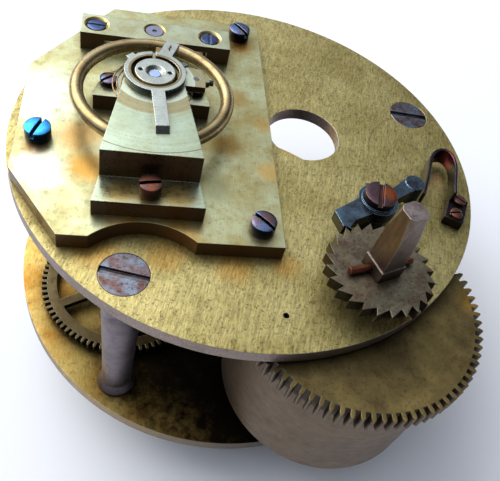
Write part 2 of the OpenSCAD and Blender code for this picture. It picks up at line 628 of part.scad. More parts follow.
// the escape bridge: a bar with a foot at each end, screwed and sunk
module escape_bridge() color(pale_brass) difference() {
    translate([E[0] - 11.2, E[1] - 2.75, zp]) cube([23.2, 4.85, bridge_h]);
    translate([-23, 15, zp - 1]) cube([16, 6, bridge_h - 1.1 + 1]);
    translate(at(E, zp)) cylinder(r = 1.36, h = 5);
    for (x = [-8.9, 8.8]) translate([E[0] + x, 18.2, zp]) {
        translate([0, 0, -1]) cylinder(r = 0.75, h = 6);
        translate([0, 0, bridge_h - 0.6]) cylinder(r = 1.55, h = 2);
    }
}

module escape_bridge_screws() color(blued) for (x = [-8.9, 8.8])
    translate([E[0] + x, 18.2, zp + bridge_h - 0.6]) slotted(1.5, 0.85, 0.72, 4, 0.45, 160);

// heights of the balance
balance_z = zp + 4.5;
cock_z = zp + 5.85;
cock_t = 1.4;
module upper_jewels() color(jewel) {
    translate(at(E, zp + bridge_h - 1.1)) jewel_ring(1.35, 0.35 + fit, 0.95);
    translate(at(L, zp + bridge_top - 0.85)) jewel_ring(0.7, 0.2 + fit, 0.8);
    translate(at(A, cock_z + cock_t - 0.5)) jewel_ring(0.9, 0.2 + fit, 0.5);
}

// plain balance: a round rim on two arms
module balance_wheel() color(pale_brass) translate(at(A, balance_z)) difference() {
    union() {
        rotate_extrude($fn = 96) translate([balance_r - rim_d / 2, 0]) circle(d = rim_d, $fn = 32);
        for (i = [0 : 1]) rotate(84 + i * 180) translate([0, -0.8, -0.4])
            cube([balance_r - rim_d * 0.6, 1.6, 0.8]);
        translate([0, 0, -0.4]) cylinder(r = 1.9, h = 0.8);
    }
    translate([0, 0, -1]) cylinder(r = 0.61, h = 3);
}

module balance_staff() color(steel) translate(at(A, 0)) {
    translate([0, 0, zp - 1.1]) cylinder(r = 0.2, h = cock_z + cock_t - zp + 1.05);
    translate([0, 0, zp + 0.15]) cylinder(r = 0.6, h = cock_z - zp - 0.15 + 0.6);
}

// the roller carries the impulse pin, drawn just clear above the fork
roller_z = lever_z + lever_t + 0.4;
module roller() color(steel) translate(at(A, roller_z)) {
    difference() {
        cylinder(r = 2.1, h = 0.5);
        translate([0, 0, -1]) cylinder(r = 0.61, h = 3);
    }
    translate([0, 1.65, -0.3]) cylinder(r = 0.22, h = 0.4);
}

// hairspring: one flat coil wound from the collet to the stud, its last part round the middle
coil_z = balance_z + 0.78;
coil_end = 9;
coil_steps = coil_turns * 24;
coil_in = 1.15;
function coil_point(i, side) = let(a = coil_end + (coil_steps - i) * 15,
    r = i > coil_steps - 6 ? coil_r
        : coil_in + (coil_r - coil_in) * (i / (coil_steps - 6))) polar(r + side * 0.09, a);
module hairspring() color(dark_steel) translate(at(A, coil_z)) linear_extrude(0.3)
    polygon(concat([for (i = [0 : coil_steps]) coil_point(i, 1)],
        [for (i = [coil_steps : -1 : 0]) coil_point(i, -1)]));
echo(least_gap_between_coils = (coil_r - coil_in) / (coil_steps - 6) * 24 - 0.18);

// split ring that holds the inner end of the hairspring on the staff
module collet() color(pale_brass) translate(at(A, balance_z + 0.45)) difference() {
    cylinder(r = 1.05, h = 0.75);
    translate([0, 0, -1]) cylinder(r = 0.61, h = 3);
    rotate(200) translate([0, -0.12, -1]) cube([3, 0.24, 3]);
}

// balance cock: foot with a lower step for its screw, and an arm that narrows to the staff
function cock_half(y) = 3.9 + (1.7 - y) * 0.168;
module cock_plan(y0, y1, h) linear_extrude(h) polygon([[A[0] - cock_half(y0), y0],
    [A[0] + cock_half(y0), y0], [A[0] + cock_half(y1), y1], [A[0] - cock_half(y1), y1]]);
ear_t = 0.95;
stud_r = 0.42;
stud_place = A + polar(coil_r + 0.1, coil_end);
stud_screw_x = A[0] + 7.66;
cap_screw_angles = [177, 357];
module balance_cock() color(pale_brass) difference() {
    union() {
        translate([0, 0, zp]) cock_plan(-17.6, -10.3, 2.7);
        translate([0, 0, zp]) cock_plan(-13.3, -10.3, cock_z + cock_t - zp);
        translate([0, 0, cock_z]) cock_plan(-13.3, A[1], cock_t);
        translate(at(A, cock_z)) cylinder(r = 3.95, h = cock_t);
        translate(at(A, cock_z)) linear_extrude(ear_t) polygon([[3, -0.8], [7.05, -0.8],
            [7.1, 0.4], [7.66, 0.5], [7.66, 1.4], [6.9, 2.1], [6.65, 3.1], [3, 3.4]]);
    }
    translate(at(stud_place, cock_z - 1)) cylinder(r = stud_r + 0.01, h = 4);
    translate([stud_place[0], stud_place[1], cock_z + ear_t / 2]) rotate([0, 90, 0])
        cylinder(r = 0.31, h = 4);
    translate(at(A, cock_z - 1)) cylinder(r = 0.7, h = 4);
    translate(at(A, cock_z + cock_t - 0.5)) cylinder(r = 0.91, h = 2);
    translate([A[0], -15.6, zp - 1]) cylinder(r = 0.85, h = 5);
    for (a = cap_screw_angles) translate(at(A + polar(cap_screw_ring, a), cock_z + 0.3))
        cylinder(r = 0.26, h = 3);
}

module cock_screw() color(rust) translate([A[0], -15.6, zp + 2.7])
    slotted(1.45, 1.9, 0.8, 4.6, 0.5, 10);

// the stud is a pin in the ear of the cock, slit below for the end of the hairspring
module stud() color(steel) difference() {
    translate(at(stud_place, coil_z - 0.15))
        cylinder(r = stud_r, h = cock_z + ear_t - coil_z + 0.15);
    translate(at(A, coil_z - 1)) rotate(coil_end) translate([coil_r - 0.16, -2, 0])
        cube([0.28, 4, 1.32]);
}

// a small screw in the side of the ear clamps the stud
module stud_screw() color(blued) translate([stud_screw_x, stud_place[1], cock_z + ear_t / 2])
    rotate([0, 90, 0])
        slotted(0.42, 0.6, 0.3, stud_screw_x - stud_place[0] - stud_r - 0.02, 0.16, 30);

// index: a split ring with a tail, and an arm that carries the curb pins under it
index_t = 0.9;
index_z = cock_z + cock_t + 0.01;
index_r = 4.2;
index_in = 3.3;
curb_angle = 70.5;
pin_r = 0.13;
pin_off = 0.27;
module index() color(steel) translate(at(A, index_z)) rotate(index_turn) difference() {
    union() {
        cylinder(r = index_r, h = index_t);
        rotate(-84) translate([index_in, -0.9, 0]) cube([8.1, 1.8, index_t]);
        rotate(curb_angle) translate([index_in, -0.95, 0]) cube([7.3 - index_in, 1.9, index_t]);
        rotate(134) translate([index_in, -0.65, 0]) cube([1.9, 1.3, 0.35]);
        rotate(35) translate([index_in, -0.4, 0]) cube([2, 0.8, 0.35]);
    }
    translate([0, 0, -1]) cylinder(r = index_in, h = 4);
    rotate(93.6) translate([0, -0.22, -1]) cube([6, 0.44, 4]);
    rotate(-84) translate([index_in + 8.1, -2, 0]) rotate([0, -35, 0]) cube([3, 4, 3]);
    for (off = [-pin_off, pin_off]) rotate(curb_angle) translate([coil_r + off, 0, -1])
        cylinder(r = pin_r + 0.01, h = 4);
}

// two pins under the index, one on each side of the outer coil
module curb_pins() color(brass) translate(at(A, coil_z - 0.2)) rotate(index_turn + curb_angle)
    for (off = [-pin_off, pin_off]) translate([coil_r + off, 0, 0])
        cylinder(r = pin_r, h = index_z + index_t - coil_z + 0.5);

// endstone cap: a polished disc inside the index, dished over its stone and held by two screws
cap_z = cock_z + cock_t + 0.01;
cap_t = 0.85;
cap_r = 2.72;
cap_screw_ring = 2;
stone_r = 0.78;
stone_t = 0.35;
module endstone_cap() color(steel) translate(at(A, cap_z)) difference() {
    cylinder(r = cap_r, h = cap_t);
    translate([0, 0, -1]) cylinder(r = stone_r + 0.01, h = 3);
    translate([0, 0, stone_t]) cylinder(r1 = stone_r + 0.06, r2 = 1.34, h = cap_t - stone_t + 0.01);
    for (a = cap_screw_angles) translate(at(polar(cap_screw_ring, a), -1)) {
        cylinder(r = 0.26, h = 3);
        translate([0, 0, 1 + cap_t - 0.42]) cylinder(r = 0.35, h = 2);
    }
}

module endstone() color(pale_stone) translate(at(A, cap_z + 0.01))
    cylinder(r = stone_r, h = stone_t - 0.02);

module cap_screws() color(blued) for (a = cap_screw_angles)
    translate(at(A + polar(cap_screw_ring, a), cap_z + cap_t - 0.42))
        slotted(0.33, 0.3, 0.25, 1.4, 0.14, 60);

// motion work on the dial side
cannon_z = -2.6;
minute_z = -2.1;
hour_z = -4.1;
module cannon_pinion() color(steel) difference() {
    union() {
        translate([0, 0, cannon_z]) leaves(cannon_leaves, cannon_r, 1.6, centre_turn);
        translate([0, 0, -hand_len + 1.4]) cylinder(r = 1.6, h = hand_len - 2.5);
        translate([-1.1, -1.1, -hand_len + 0.3]) cube([2.2, 2.2, 2]);
    }
    translate([0, 0, -hand_len - 1]) cylinder(r = 1.01, h = hand_len + 1);
}

module minute_wheel() color(brass) translate(at(M, 0)) difference() {
    union() {
        translate([0, 0, minute_z]) toothed(minute_teeth, minute_r, 0.8, minute_turn);
        translate([0, 0, hour_z - 0.5]) leaves(minute_leaves, minute_pin_r, 2.6, minute_turn);
        translate([0, 0, -1.4]) cylinder(r = 1.6, h = 1.3);
    }
    translate([0, 0, -9]) cylinder(r = 0.7 + fit, h = 12);
}

module minute_stud() color(steel) translate(at(M, 0)) {
    translate([0, 0, hour_z - 0.8]) cylinder(r = 0.7, h = -hour_z + 0.9);
    translate([0, 0, 0]) cylinder(r = stud_hole_r, h = front_t - 0.05);
}

module hour_wheel() color(brass) difference() {
    union() {
        translate([0, 0, hour_z]) toothed(hour_teeth, hour_r, 0.8, hour_turn);
        translate([0, 0, hour_z - 2.2]) cylinder(r = 2.35, h = 2.5);
    }
    translate([0, 0, -9]) cylinder(r = 1.6 + fit, h = 9);
}

front_plate();
back_plate();
pillars();
pillar_screws();
barrel_drum();
barrel_cover();
mainspring();
barrel_arbor();
ratchet_wheel();
ratchet_pin();
click();
click_screw();
click_spring();
click_spring_screws();
intermediate_arbor();
intermediate_wheel();
centre_arbor();
centre_wheel();
third_arbor();
third_wheel();
fourth_arbor();
fourth_wheel();
escape_arbor();
escape_wheel();
escape_potence();
potence_screw();
platform_plate();
platform_screws();
banking_pins();
lower_jewels();
pallet_lever();
pallet_arbor();
pallet_stones();
pallet_bridge();
pallet_bridge_screws();
escape_bridge();
escape_bridge_screws();
upper_jewels();
balance_wheel();
balance_staff();
roller();
hairspring();
collet();
balance_cock();
cock_screw();
stud();
stud_screw();
index();
curb_pins();
endstone_cap();
endstone();
cap_screws();
cannon_pinion();
minute_wheel();
minute_stud();
hour_wheel();
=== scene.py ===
# A round mantel clock movement lying dial side down on a sheet of paper: brass plates on pillars,
# the barrel with its ratchet and click, the wheel train, and the lever platform with its balance.
import json
import math
import bpy
from mathutils import Matrix, Vector


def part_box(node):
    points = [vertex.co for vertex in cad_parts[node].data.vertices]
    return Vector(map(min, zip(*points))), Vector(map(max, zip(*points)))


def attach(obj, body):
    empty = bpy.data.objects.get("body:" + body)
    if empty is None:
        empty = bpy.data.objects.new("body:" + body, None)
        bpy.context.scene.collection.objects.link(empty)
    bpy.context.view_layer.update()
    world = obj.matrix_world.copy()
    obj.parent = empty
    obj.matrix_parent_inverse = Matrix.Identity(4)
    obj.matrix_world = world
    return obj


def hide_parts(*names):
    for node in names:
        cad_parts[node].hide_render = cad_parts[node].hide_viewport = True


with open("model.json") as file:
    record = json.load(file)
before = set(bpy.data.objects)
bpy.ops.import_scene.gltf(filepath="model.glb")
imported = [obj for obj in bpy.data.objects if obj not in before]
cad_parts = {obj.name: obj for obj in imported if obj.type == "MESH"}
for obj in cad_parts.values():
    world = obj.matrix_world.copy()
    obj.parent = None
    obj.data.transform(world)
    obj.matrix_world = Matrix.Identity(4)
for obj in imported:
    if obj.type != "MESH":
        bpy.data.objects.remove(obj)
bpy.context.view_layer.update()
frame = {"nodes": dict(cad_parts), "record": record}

# Camera
# The photograph looks down on the movement from its front left, from 12 cm away. The place, the
# turn and the focal length of the camera are worked out from the round plates and wheels.
MM = 0.001
scene = bpy.context.scene
scene.view_settings.view_transform = "Standard"
picture_wide, picture_high = 500, 481
middle_x, middle_y = 250.68, 238.77
focal_length = 635
film_mm = 36
right = Vector((0.9778, -0.0735, 0.1960))
down = Vector((0.0616, -0.7939, -0.6049))
ahead = right.cross(down).normalized()
down = ahead.cross(right).normalized()
camera_data = bpy.data.cameras.new("camera")
camera = bpy.data.objects.new("camera", camera_data)
scene.collection.objects.link(camera)
camera.matrix_world = Matrix.Translation(Vector((-18.61, -69.57, 98.24)) * MM) @ Matrix(
    (right.normalized(), -down, -ahead)).transposed().to_4x4()
camera_data.sensor_width = film_mm
camera_data.lens = film_mm * focal_length / picture_wide
camera_data.shift_x = (picture_wide / 2 - middle_x) / picture_wide
camera_data.shift_y = (middle_y - picture_high / 2) / picture_wide
camera_data.clip_start = 0.005
camera_data.clip_end = 20
scene.camera = camera


# Paper
# A sheet of plain white paper. The movement rests on the rim of its front plate and on the end of
# the hand arbor, so the sheet is tilted by 13.7 degrees to the plates.
def linear(hex_code):
    """An sRGB hex code as linear red, green, blue and alpha."""
    parts = [int(hex_code[i:i + 2], 16) / 255 for i in (1, 3, 5)]
    return [c / 12.92 if c <= 0.04045 else ((c + 0.055) / 1.055) ** 2.4 for c in parts] + [1.0]


def add(tree, kind, links=None, **settings):
    """Adds a node; settings are its properties, links its input values or the sockets to join."""
    node = tree.nodes.new(kind)
    for key, value in settings.items():
        setattr(node, key, value)
    for key, value in (links or {}).items():
        if isinstance(value, bpy.types.NodeSocket):
            tree.links.new(value, node.inputs[key])
        else:
            node.inputs[key].default_value = value
    return node


def blank_material(name):
    """A new material with an empty node tree."""
    made = bpy.data.materials.new(name)
    made.use_nodes = True
    made.node_tree.nodes.clear()
    return made, made.node_tree


# Uncoated paper: matt and white, a little warmer and cooler in clouds as wide as a hand.
cloud_mm = 111
paper, tree = blank_material("plain white paper")
place = add(tree, "ShaderNodeTexCoord").outputs["Object"]
cloud = add(tree, "ShaderNodeTexNoise", {"Vector": place, "Scale": 1 / (cloud_mm * MM), "Detail": 2})
tint = add(tree, "ShaderNodeMix", {0: cloud.outputs["Fac"], 6: linear("#eceff5"), 7: linear("#f5f5f7")},
           data_type="RGBA")
sheet = add(tree, "ShaderNodeBsdfPrincipled", {"Base Color": tint.outputs[2], "Roughness": 0.8,
                                               "Specular IOR Level": 0.2})
add(tree, "ShaderNodeOutputMaterial", {"Surface": sheet.outputs[0]})

paper_up = Vector((-0.2287, -0.0624, 0.9715)).normalized()
paper_at = Vector((33.9, 9.2, -0.06)) * MM
bpy.ops.object.select_all(action="DESELECT")
bpy.ops.mesh.primitive_plane_add(size=6)
floor = bpy.context.object
floor.name = "paper"
floor.data.transform(Matrix.Translation(paper_at) @ paper_up.to_track_quat("Z", "Y").to_matrix().to_4x4())
floor.data.materials.append(paper)

# Daylight
# One wide window, high on the left and behind, gives soft light, so the shadow falls to the right
# and towards the front. The rest of the room is pale, dim away from the window and near the floor.
window_at = Vector((-400, 350, 480))
window_aim = Vector((0, 0, 20))
window_data = bpy.data.lights.new("window", "AREA")
window_data.energy = 4.9
window_data.size = 0.7
window_data.color = linear("#fffdf8")[:3]
window = bpy.data.objects.new("window", window_data)
scene.collection.objects.link(window)
window.location = window_at * MM
window.rotation_mode = "QUATERNION"
window.rotation_quaternion = (window_aim - window_at).normalized().to_track_quat("-Z", "Y")

world = bpy.data.worlds.new("daylight in a room")
scene.world = world
world.use_nodes = True
tree = world.node_tree
tree.nodes.clear()
look = add(tree, "ShaderNodeTexCoord").outputs["Generated"]
facing = add(tree, "ShaderNodeVectorMath", {0: look, 1: (-0.56, 0.38, 0.74)}, operation="DOT_PRODUCT")
near_window = add(tree, "ShaderNodeMapRange", {0: facing.outputs["Value"], 1: 0.3, 2: 0.9, 3: 0.06, 4: 1.5},
                  interpolation_type="SMOOTHSTEP").outputs[0]
height = add(tree, "ShaderNodeSeparateXYZ", {0: look}).outputs["Z"]
off_floor = add(tree, "ShaderNodeMapRange", {0: height, 1: 0.0, 2: 0.5, 3: 0.25, 4: 1.0}).outputs[0]
level = add(tree, "ShaderNodeMath", {0: near_window, 1: off_floor}, operation="MULTIPLY").outputs[0]
glow = add(tree, "ShaderNodeBackground", {"Color": linear("#e6edfb"), "Strength": level})
add(tree, "ShaderNodeOutputWorld", {"Surface": glow.outputs[0]})


# Front and back plates
# Two round plates of hard rolled brass, grained along their height by hand with a stone and bored
# for the pivots. The back plate is speckled with small dark pits and stained round its screws.
def metal(name, clean, worn, deep, grain=(0.12, 2.2, 0.12), slant=0.0, patch_mm=5.0, rough=0.38,
          relief=0.02, edge="#f1e6c4", wall=None, wall_share=0.85, rings=None, occlusion_shade=0.6, occlusion_shade_mm=1.6,
          pits=0.35, pit_mm=0.45, pit_from=0.60, marks_share=0.14, stains_and_painted_light=(), bands_and_painted_light=()):
    """One aged metal: clean where it is bare, worn in patches, deep in pits and in painted shade where
    ambient occlusion finds corners, wall as painted shade on its upright faces, and edge on its edges,
    which are rubbed and painted with a highlight, all colours. grain is the size in mm of its brush
    marks along x, y and z, turned by slant, and rings the (x, y, width) of turned ones. Stains are
    (x, y, radius, hex, share) and bands (x, y, inner, outer, hex, share), both in mm; some stains are
    painted shade and highlight, and some bands painted highlight."""
    made, tree = blank_material(name)
    place = add(tree, "ShaderNodeTexCoord").outputs["Object"]

    def far_from(x, y):
        """How far the surface is from an upright axis."""
        off = add(tree, "ShaderNodeVectorMath", {0: place, 1: (x * MM, y * MM, 0)}, operation="SUBTRACT")
        flat = add(tree, "ShaderNodeVectorMath", {0: off.outputs[0], 1: (1, 1, 0)}, operation="MULTIPLY")
        return add(tree, "ShaderNodeVectorMath", {0: flat.outputs[0]}, operation="LENGTH").outputs["Value"]

    clouds = []
    for size_mm, detail, crisp in ((patch_mm, 6, 0.62), (patch_mm * 0.22, 5, 0.7), (pit_mm, 3, 0.75)):
        clouds.append(add(tree, "ShaderNodeTexNoise", {"Vector": place, "Scale": 1 / (size_mm * MM),
                                                       "Detail": detail, "Roughness": crisp}).outputs["Fac"])
    big, fine, speck = clouds
    # every layer is a mask, its values at no cover and at full cover, the cover, and its colour
    layers = [(big, 0.40, 0.64, 1.0, worn), (fine, 0.56, 0.80, 0.55, deep),
              (speck, pit_from, pit_from + 0.1, pits, deep)]
    # stains have a ragged edge, and so do the patches of painted shade and highlight among them
    for x, y, radius, colour, share in stains_and_painted_light:
        ragged = add(tree, "ShaderNodeMath", {0: fine, 1: radius * 0.9 * MM, 2: far_from(x, y)},
                     operation="MULTIPLY_ADD").outputs[0]
        layers.append((ragged, radius * 1.55 * MM, radius * 0.9 * MM, share, colour))
    # bands, scribed lines and rings of painted highlight run round an upright axis and have a sharp edge
    for x, y, inner, outer, colour, share in bands_and_painted_light:
        middle, half, soft = (inner + outer) / 2 * MM, (outer - inner) / 2 * MM, 0.06 * MM
        aside = add(tree, "ShaderNodeMath", {0: far_from(x, y), 1: middle}, operation="SUBTRACT").outputs[0]
        aside = add(tree, "ShaderNodeMath", {0: aside}, operation="ABSOLUTE").outputs[0]
        layers.append((aside, half + soft, half - soft, share, colour))
    # upright faces get painted shade, occluded corners painted shade, rubbed edges a painted highlight
    face = add(tree, "ShaderNodeNewGeometry").outputs["Normal"]
    if wall:
        tilt = add(tree, "ShaderNodeSeparateXYZ", {0: face}).outputs["Z"]
        steep = add(tree, "ShaderNodeMath", {0: tilt}, operation="ABSOLUTE").outputs[0]
        upright = add(tree, "ShaderNodeMath", {0: big, 1: 0.6, 2: steep},
                      operation="MULTIPLY_ADD").outputs[0]
        layers.append((upright, 0.95, 0.38, wall_share, wall))
    near = add(tree, "ShaderNodeAmbientOcclusion", {"Distance": occlusion_shade_mm * MM}, samples=4).outputs["AO"]
    layers.append((near, 0.95, 0.35, occlusion_shade, deep))
    edge_round_mm = 0.14
    round_off = add(tree, "ShaderNodeBevel", {"Radius": edge_round_mm * MM}, samples=4).outputs[0]
    bend = add(tree, "ShaderNodeVectorMath", {0: round_off, 1: face}, operation="DOT_PRODUCT")
    layers.append((bend.outputs["Value"], 0.995, 0.86, 0.5, edge))
    shade = linear(clean)
    for mask, none, full, cover, colour in layers:
        share = add(tree, "ShaderNodeMapRange", {0: mask, 1: none, 2: full, 3: 0.0, 4: cover}).outputs[0]
        shade = add(tree, "ShaderNodeMix", {0: share, 6: shade, 7: linear(colour)},
                    data_type="RGBA").outputs[2]
    # brush marks are noise drawn out along the grain, or rings round the turning axis
    if rings:
        step = add(tree, "ShaderNodeMath", {0: far_from(*rings[:2]), 1: 1 / (rings[2] * MM)},
                   operation="MULTIPLY").outputs[0]
        marks = add(tree, "ShaderNodeTexNoise", {"W": step, "Scale": 1, "Detail": 3},
                    noise_dimensions="1D").outputs["Fac"]
    else:
        run = add(tree, "ShaderNodeMapping", {"Vector": place, "Rotation": (0, 0, math.radians(slant)),
                                              "Scale": [g * MM for g in grain]}, vector_type="TEXTURE")
        marks = add(tree, "ShaderNodeTexNoise", {"Vector": run.outputs[0], "Scale": 1, "Detail": 3,
                                                 "Roughness": 0.6}).outputs["Fac"]
    strength = add(tree, "ShaderNodeMapRange", {0: marks, 1: 0.3, 2: 0.7, 3: 1 - marks_share,
                                                4: 1 + marks_share * 0.7}).outputs[0]
    shade = add(tree, "ShaderNodeMix", {0: 1.0, 6: shade, 7: strength}, data_type="RGBA",
                blend_type="MULTIPLY").outputs[2]
    dull = add(tree, "ShaderNodeMapRange", {0: fine, 1: 0.3, 2: 0.8, 3: rough - 0.07,
                                            4: rough + 0.16}).outputs[0]
    bump = round_off
    for height, strength, deep_mm in ((marks, 0.35, relief), (speck, 0.3, relief * 2)):
        bump = add(tree, "ShaderNodeBump", {"Height": height, "Strength": strength, "Distance": deep_mm * MM,
                                            "Normal": bump}).outputs[0]
    skin = add(tree, "ShaderNodeBsdfPrincipled", {"Base Color": shade, "Metallic": 0.9,
                                                  "Roughness": dull, "Normal": bump})
    add(tree, "ShaderNodeOutputMaterial", {"Surface": skin.outputs[0]})
    return made


def dress(piece, material, node):
    """Gives a piece its finish and, if it is a new piece, the body of the CAD node it belongs to, whose part
    it hides.
    """
    piece.data.materials.clear()
    piece.data.materials.append(material)
    if piece is not frame["nodes"][node]:
        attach(piece, next(b for b, held in frame["record"]["behaviour"]["bodies"].items() if node in held))
        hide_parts(node)


def only(piece):
    """Makes a piece the only one selected, and the active one."""
    bpy.ops.object.select_all(action="DESELECT")
    piece.select_set(True)
    bpy.context.view_layer.objects.active = piece


def round_edges(piece, width_mm, segments=2):
    """Rounds the hard edges of a piece for good, and shades it smooth with its flat faces flat."""
    only(piece)
    edge = piece.modifiers.new("rounded edges", "BEVEL")
    edge.width = width_mm * MM
    edge.segments = segments
    edge.limit_method = "ANGLE"
    edge.angle_limit = math.radians(35)
    bpy.ops.object.modifier_apply(modifier=edge.name)
    bpy.ops.object.shade_smooth_by_angle(angle=math.radians(32))
    even = piece.modifiers.new("flat faces stay flat", "WEIGHTED_NORMAL")
    even.keep_sharp = True
    even.weight = 100
    bpy.ops.object.modifier_apply(modifier=even.name)


def merged(node):
    """A copy of a CAD node with its loose triangles joined and its flat faces made whole."""
    piece = frame["nodes"][node].copy()
    piece.data = piece.data.copy()
    piece.name = node + "_finished"
    scene.collection.objects.link(piece)
    only(piece)
    bpy.ops.mesh.customdata_custom_splitnormals_clear()
    bpy.ops.object.mode_set(mode="EDIT")
    bpy.ops.mesh.select_all(action="SELECT")
    bpy.ops.mesh.remove_doubles(threshold=0.002 * MM)
    bpy.ops.mesh.dissolve_limited(angle_limit=math.radians(0.8))
    bpy.ops.object.mode_set(mode="OBJECT")
    return piece


def eased(node, width_mm, segments=2):
    """A merged copy of a CAD node with its hard edges rounded."""
    piece = merged(node)
    round_edges(piece, width_mm, segments)
    return piece


# Rolled brass, grained by hand and dulled by age: a soft sheen broken by slanting streaks, with
# brown specks and golden tarnish. Real grain is some 0.03 mm wide, too fine to show, so it is drawn
# 0.22 mm wide. One faint arc, scribed in setting out, crosses the plate near the ratchet.
golden = "#c08f3c"
# Its upright rim is painted lilac grey, a painted reflection.
plate_brass = metal("aged rolled brass, grained lengthwise", "#c9ba7c", "#b0a062", "#463718",
                    grain=(0.22, 1.5, 0.22), slant=-16, patch_mm=9, rough=0.40, relief=0.05, wall="#84747a",
                    wall_share=0.8, pits=0.6, pit_mm=0.36, pit_from=0.54, marks_share=0.36, edge="#d9cfc0",
                    stains_and_painted_light=[(-21.7, -21, 3.5, golden, 0.6), (-13, -21.5, 3, golden, 0.5),
                            (-4, -22.8, 3, golden, 0.6), (2.8, -22, 2.5, golden, 0.6),
                            (19, -29.5, 3, golden, 0.4)],
                    bands_and_painted_light=[(29.5, 0.5, 10.2, 10.4, "#6b5c38", 0.45)])
dress(eased("back_plate", 0.14), plate_brass, "back_plate")
# The same brass under the train: gold at its rim, and painted black inside, under the wheels, as
# painted shade from the back plate over it. Its grain, too fine to show, is drawn 0.22 mm wide as well.
painted_shade_black = "#120d09"
brass_with_painted_shade = metal("golden brass, black with oil inside", "#d8bd70", "#b98a3a", painted_shade_black,
                    grain=(0.22, 1.5, 0.22), patch_mm=7, rough=0.42, relief=0.04, wall="#8a7c6c",
                    wall_share=0.7, occlusion_shade=1.0, occlusion_shade_mm=24, pits=0.5, pit_mm=0.7, marks_share=0.2,
                    stains_and_painted_light=[(10, -8, 30, painted_shade_black, 0.95), (4, -26, 20, painted_shade_black, 0.95),
                            (-9, -20, 13, painted_shade_black, 0.9)])
dress(eased("front_plate", 0.14), brass_with_painted_shade, "front_plate")

# Pillars
# Three pillars turned from steel bar. Each has its foot riveted in the front plate, and the back
# plate lies on its head.

# Turned steel gone grey: a dull satin with faint rings round each pillar. A real tool mark is some
# 0.05 mm wide, too fine to show, so the rings are drawn 0.09 mm wide.
# Between the plates it is painted darker with shade.
pillar_steel = metal("turned grey steel", "#7a7178", "#5d5357", "#1c1614", grain=(1.6, 1.6, 0.09),
                     patch_mm=6, rough=0.42, edge="#b9b0b6", occlusion_shade=0.9, occlusion_shade_mm=14, pits=0.35)
dress(frame["nodes"]["pillars"], pillar_steel, "pillars")


# Pillar screws
# A wide flat steel screw, turned and slotted, is sunk in the back plate over each pillar and goes
# into the pillar's head.
def slotted_screw(name, node, material, head_r, height, shank_r, length, slot_wide, crown=0.0):
    """A screw with its head on the origin, in mm: turned, slotted, and its edges broken."""
    bpy.ops.object.select_all(action="DESELECT")
    bpy.ops.mesh.primitive_cylinder_add(vertices=64, radius=head_r * MM, depth=height * MM,
                                        location=(0, 0, height / 2 * MM))
    screw = bpy.context.object
    screw.name = name
    bpy.ops.object.transform_apply(location=True)
    # the shank is drawn down from under the head, and its end is pointed
    bpy.ops.object.mode_set(mode="EDIT")
    bpy.ops.mesh.select_mode(type="FACE")
    bpy.ops.mesh.select_all(action="DESELECT")
    bpy.ops.object.mode_set(mode="OBJECT")
    for face in screw.data.polygons:
        face.select = face.normal.z < -0.9
    bpy.ops.object.mode_set(mode="EDIT")
    bpy.ops.mesh.inset(thickness=(head_r - shank_r) * MM)
    bpy.ops.mesh.extrude_region_move(TRANSFORM_OT_translate={"value": (0, 0, -length * MM)})
    point_mm = 0.12 * shank_r
    bpy.ops.mesh.inset(thickness=point_mm * MM, depth=point_mm * MM)
    # a crown is raised on the head in two steps, and the slot is cut across it with a bar
    bpy.ops.mesh.select_all(action="DESELECT")
    bpy.ops.object.mode_set(mode="OBJECT")
    for face in screw.data.polygons:
        face.select = face.normal.z > 0.9 and face.center.z > height * 0.9 * MM
    bpy.ops.object.mode_set(mode="EDIT")
    if crown:
        for share in (0.75, 0.5):
            bpy.ops.mesh.inset(thickness=head_r * 0.3 * MM, depth=crown * share * MM)
    bpy.ops.object.mode_set(mode="OBJECT")
    bpy.ops.object.select_all(action="DESELECT")
    bpy.ops.mesh.primitive_cube_add(size=1, location=(0, 0, (height * 0.55 + head_r) * MM))
    cutter = bpy.context.object
    cutter.scale = (3 * head_r * MM, slot_wide * MM, 2 * head_r * MM)
    slot = screw.modifiers.new("slot", "BOOLEAN")
    slot.object = cutter
    slot.operation = "DIFFERENCE"
    slot.solver = "EXACT"
    only(screw)
    bpy.ops.object.modifier_apply(modifier=slot.name)
    bpy.data.objects.remove(cutter)
    round_edges(screw, min(0.09, head_r * 0.07))
    dress(screw, material, node)
    return screw


def put(x, y, z, turn=0.0):
    """The move that turns a shape about its upright axis, in degrees, and puts it at a place in mm."""
    return Matrix.Translation(Vector((x, y, z)) * MM) @ Matrix.Rotation(math.radians(turn), 4, "Z")


def set_in_place(master, places):
    """Puts a master screw in the first place and copies of it, with their own mesh, in the others. A
    place is its x, y and z in mm and its turn in degrees."""
    for number, spot in enumerate(places[1:], 2):
        twin = master.copy()
        twin.data = master.data.copy()
        twin.name = master.name.replace("1", str(number))
        scene.collection.objects.link(twin)
        twin.data.transform(put(*spot))
    master.data.transform(put(*places[0]))


def on_circle(x, y, radius, degrees):
    """A point on a circle round x, y."""
    return x + radius * math.cos(math.radians(degrees)), y + radius * math.sin(math.radians(degrees))


# Old bright steel: cold grey faces crossed by screwdriver scratches, with brown rust in them. The
# scratches, too fine to show, are drawn 0.1 mm wide.
worn_steel = metal("worn steel with rust in its scratches", "#7b8490", "#6b4a40", "#2c201c",
                   grain=(0.9, 0.10, 0.9), patch_mm=1.8, rough=0.3, edge="#dfe6ee", pits=0.6, pit_mm=0.5,
                   pit_from=0.55, marks_share=0.3)
pillar_screw = slotted_screw("pillar_screw_1", "pillar_screws", worn_steel, head_r=3.23, height=1.1,
                             shank_r=1.4, length=5.5, slot_wide=0.9)
pillar_ring, sink_floor = 30.5, 31.1
set_in_place(pillar_screw, [(*on_circle(0, 0, pillar_ring, degrees), sink_floor, turn)
                            for degrees, turn in ((-126, -12.5), (21.5, -5), (128, -12.5))])

# Barrel and its cover
# The going barrel is a drum turned from brass, with the great wheel of eighty teeth cut on its edge
# and a cover snapped in. It reaches past the edge of the plates.
BARREL = on_circle(0, 0, 28.65, -60.75)
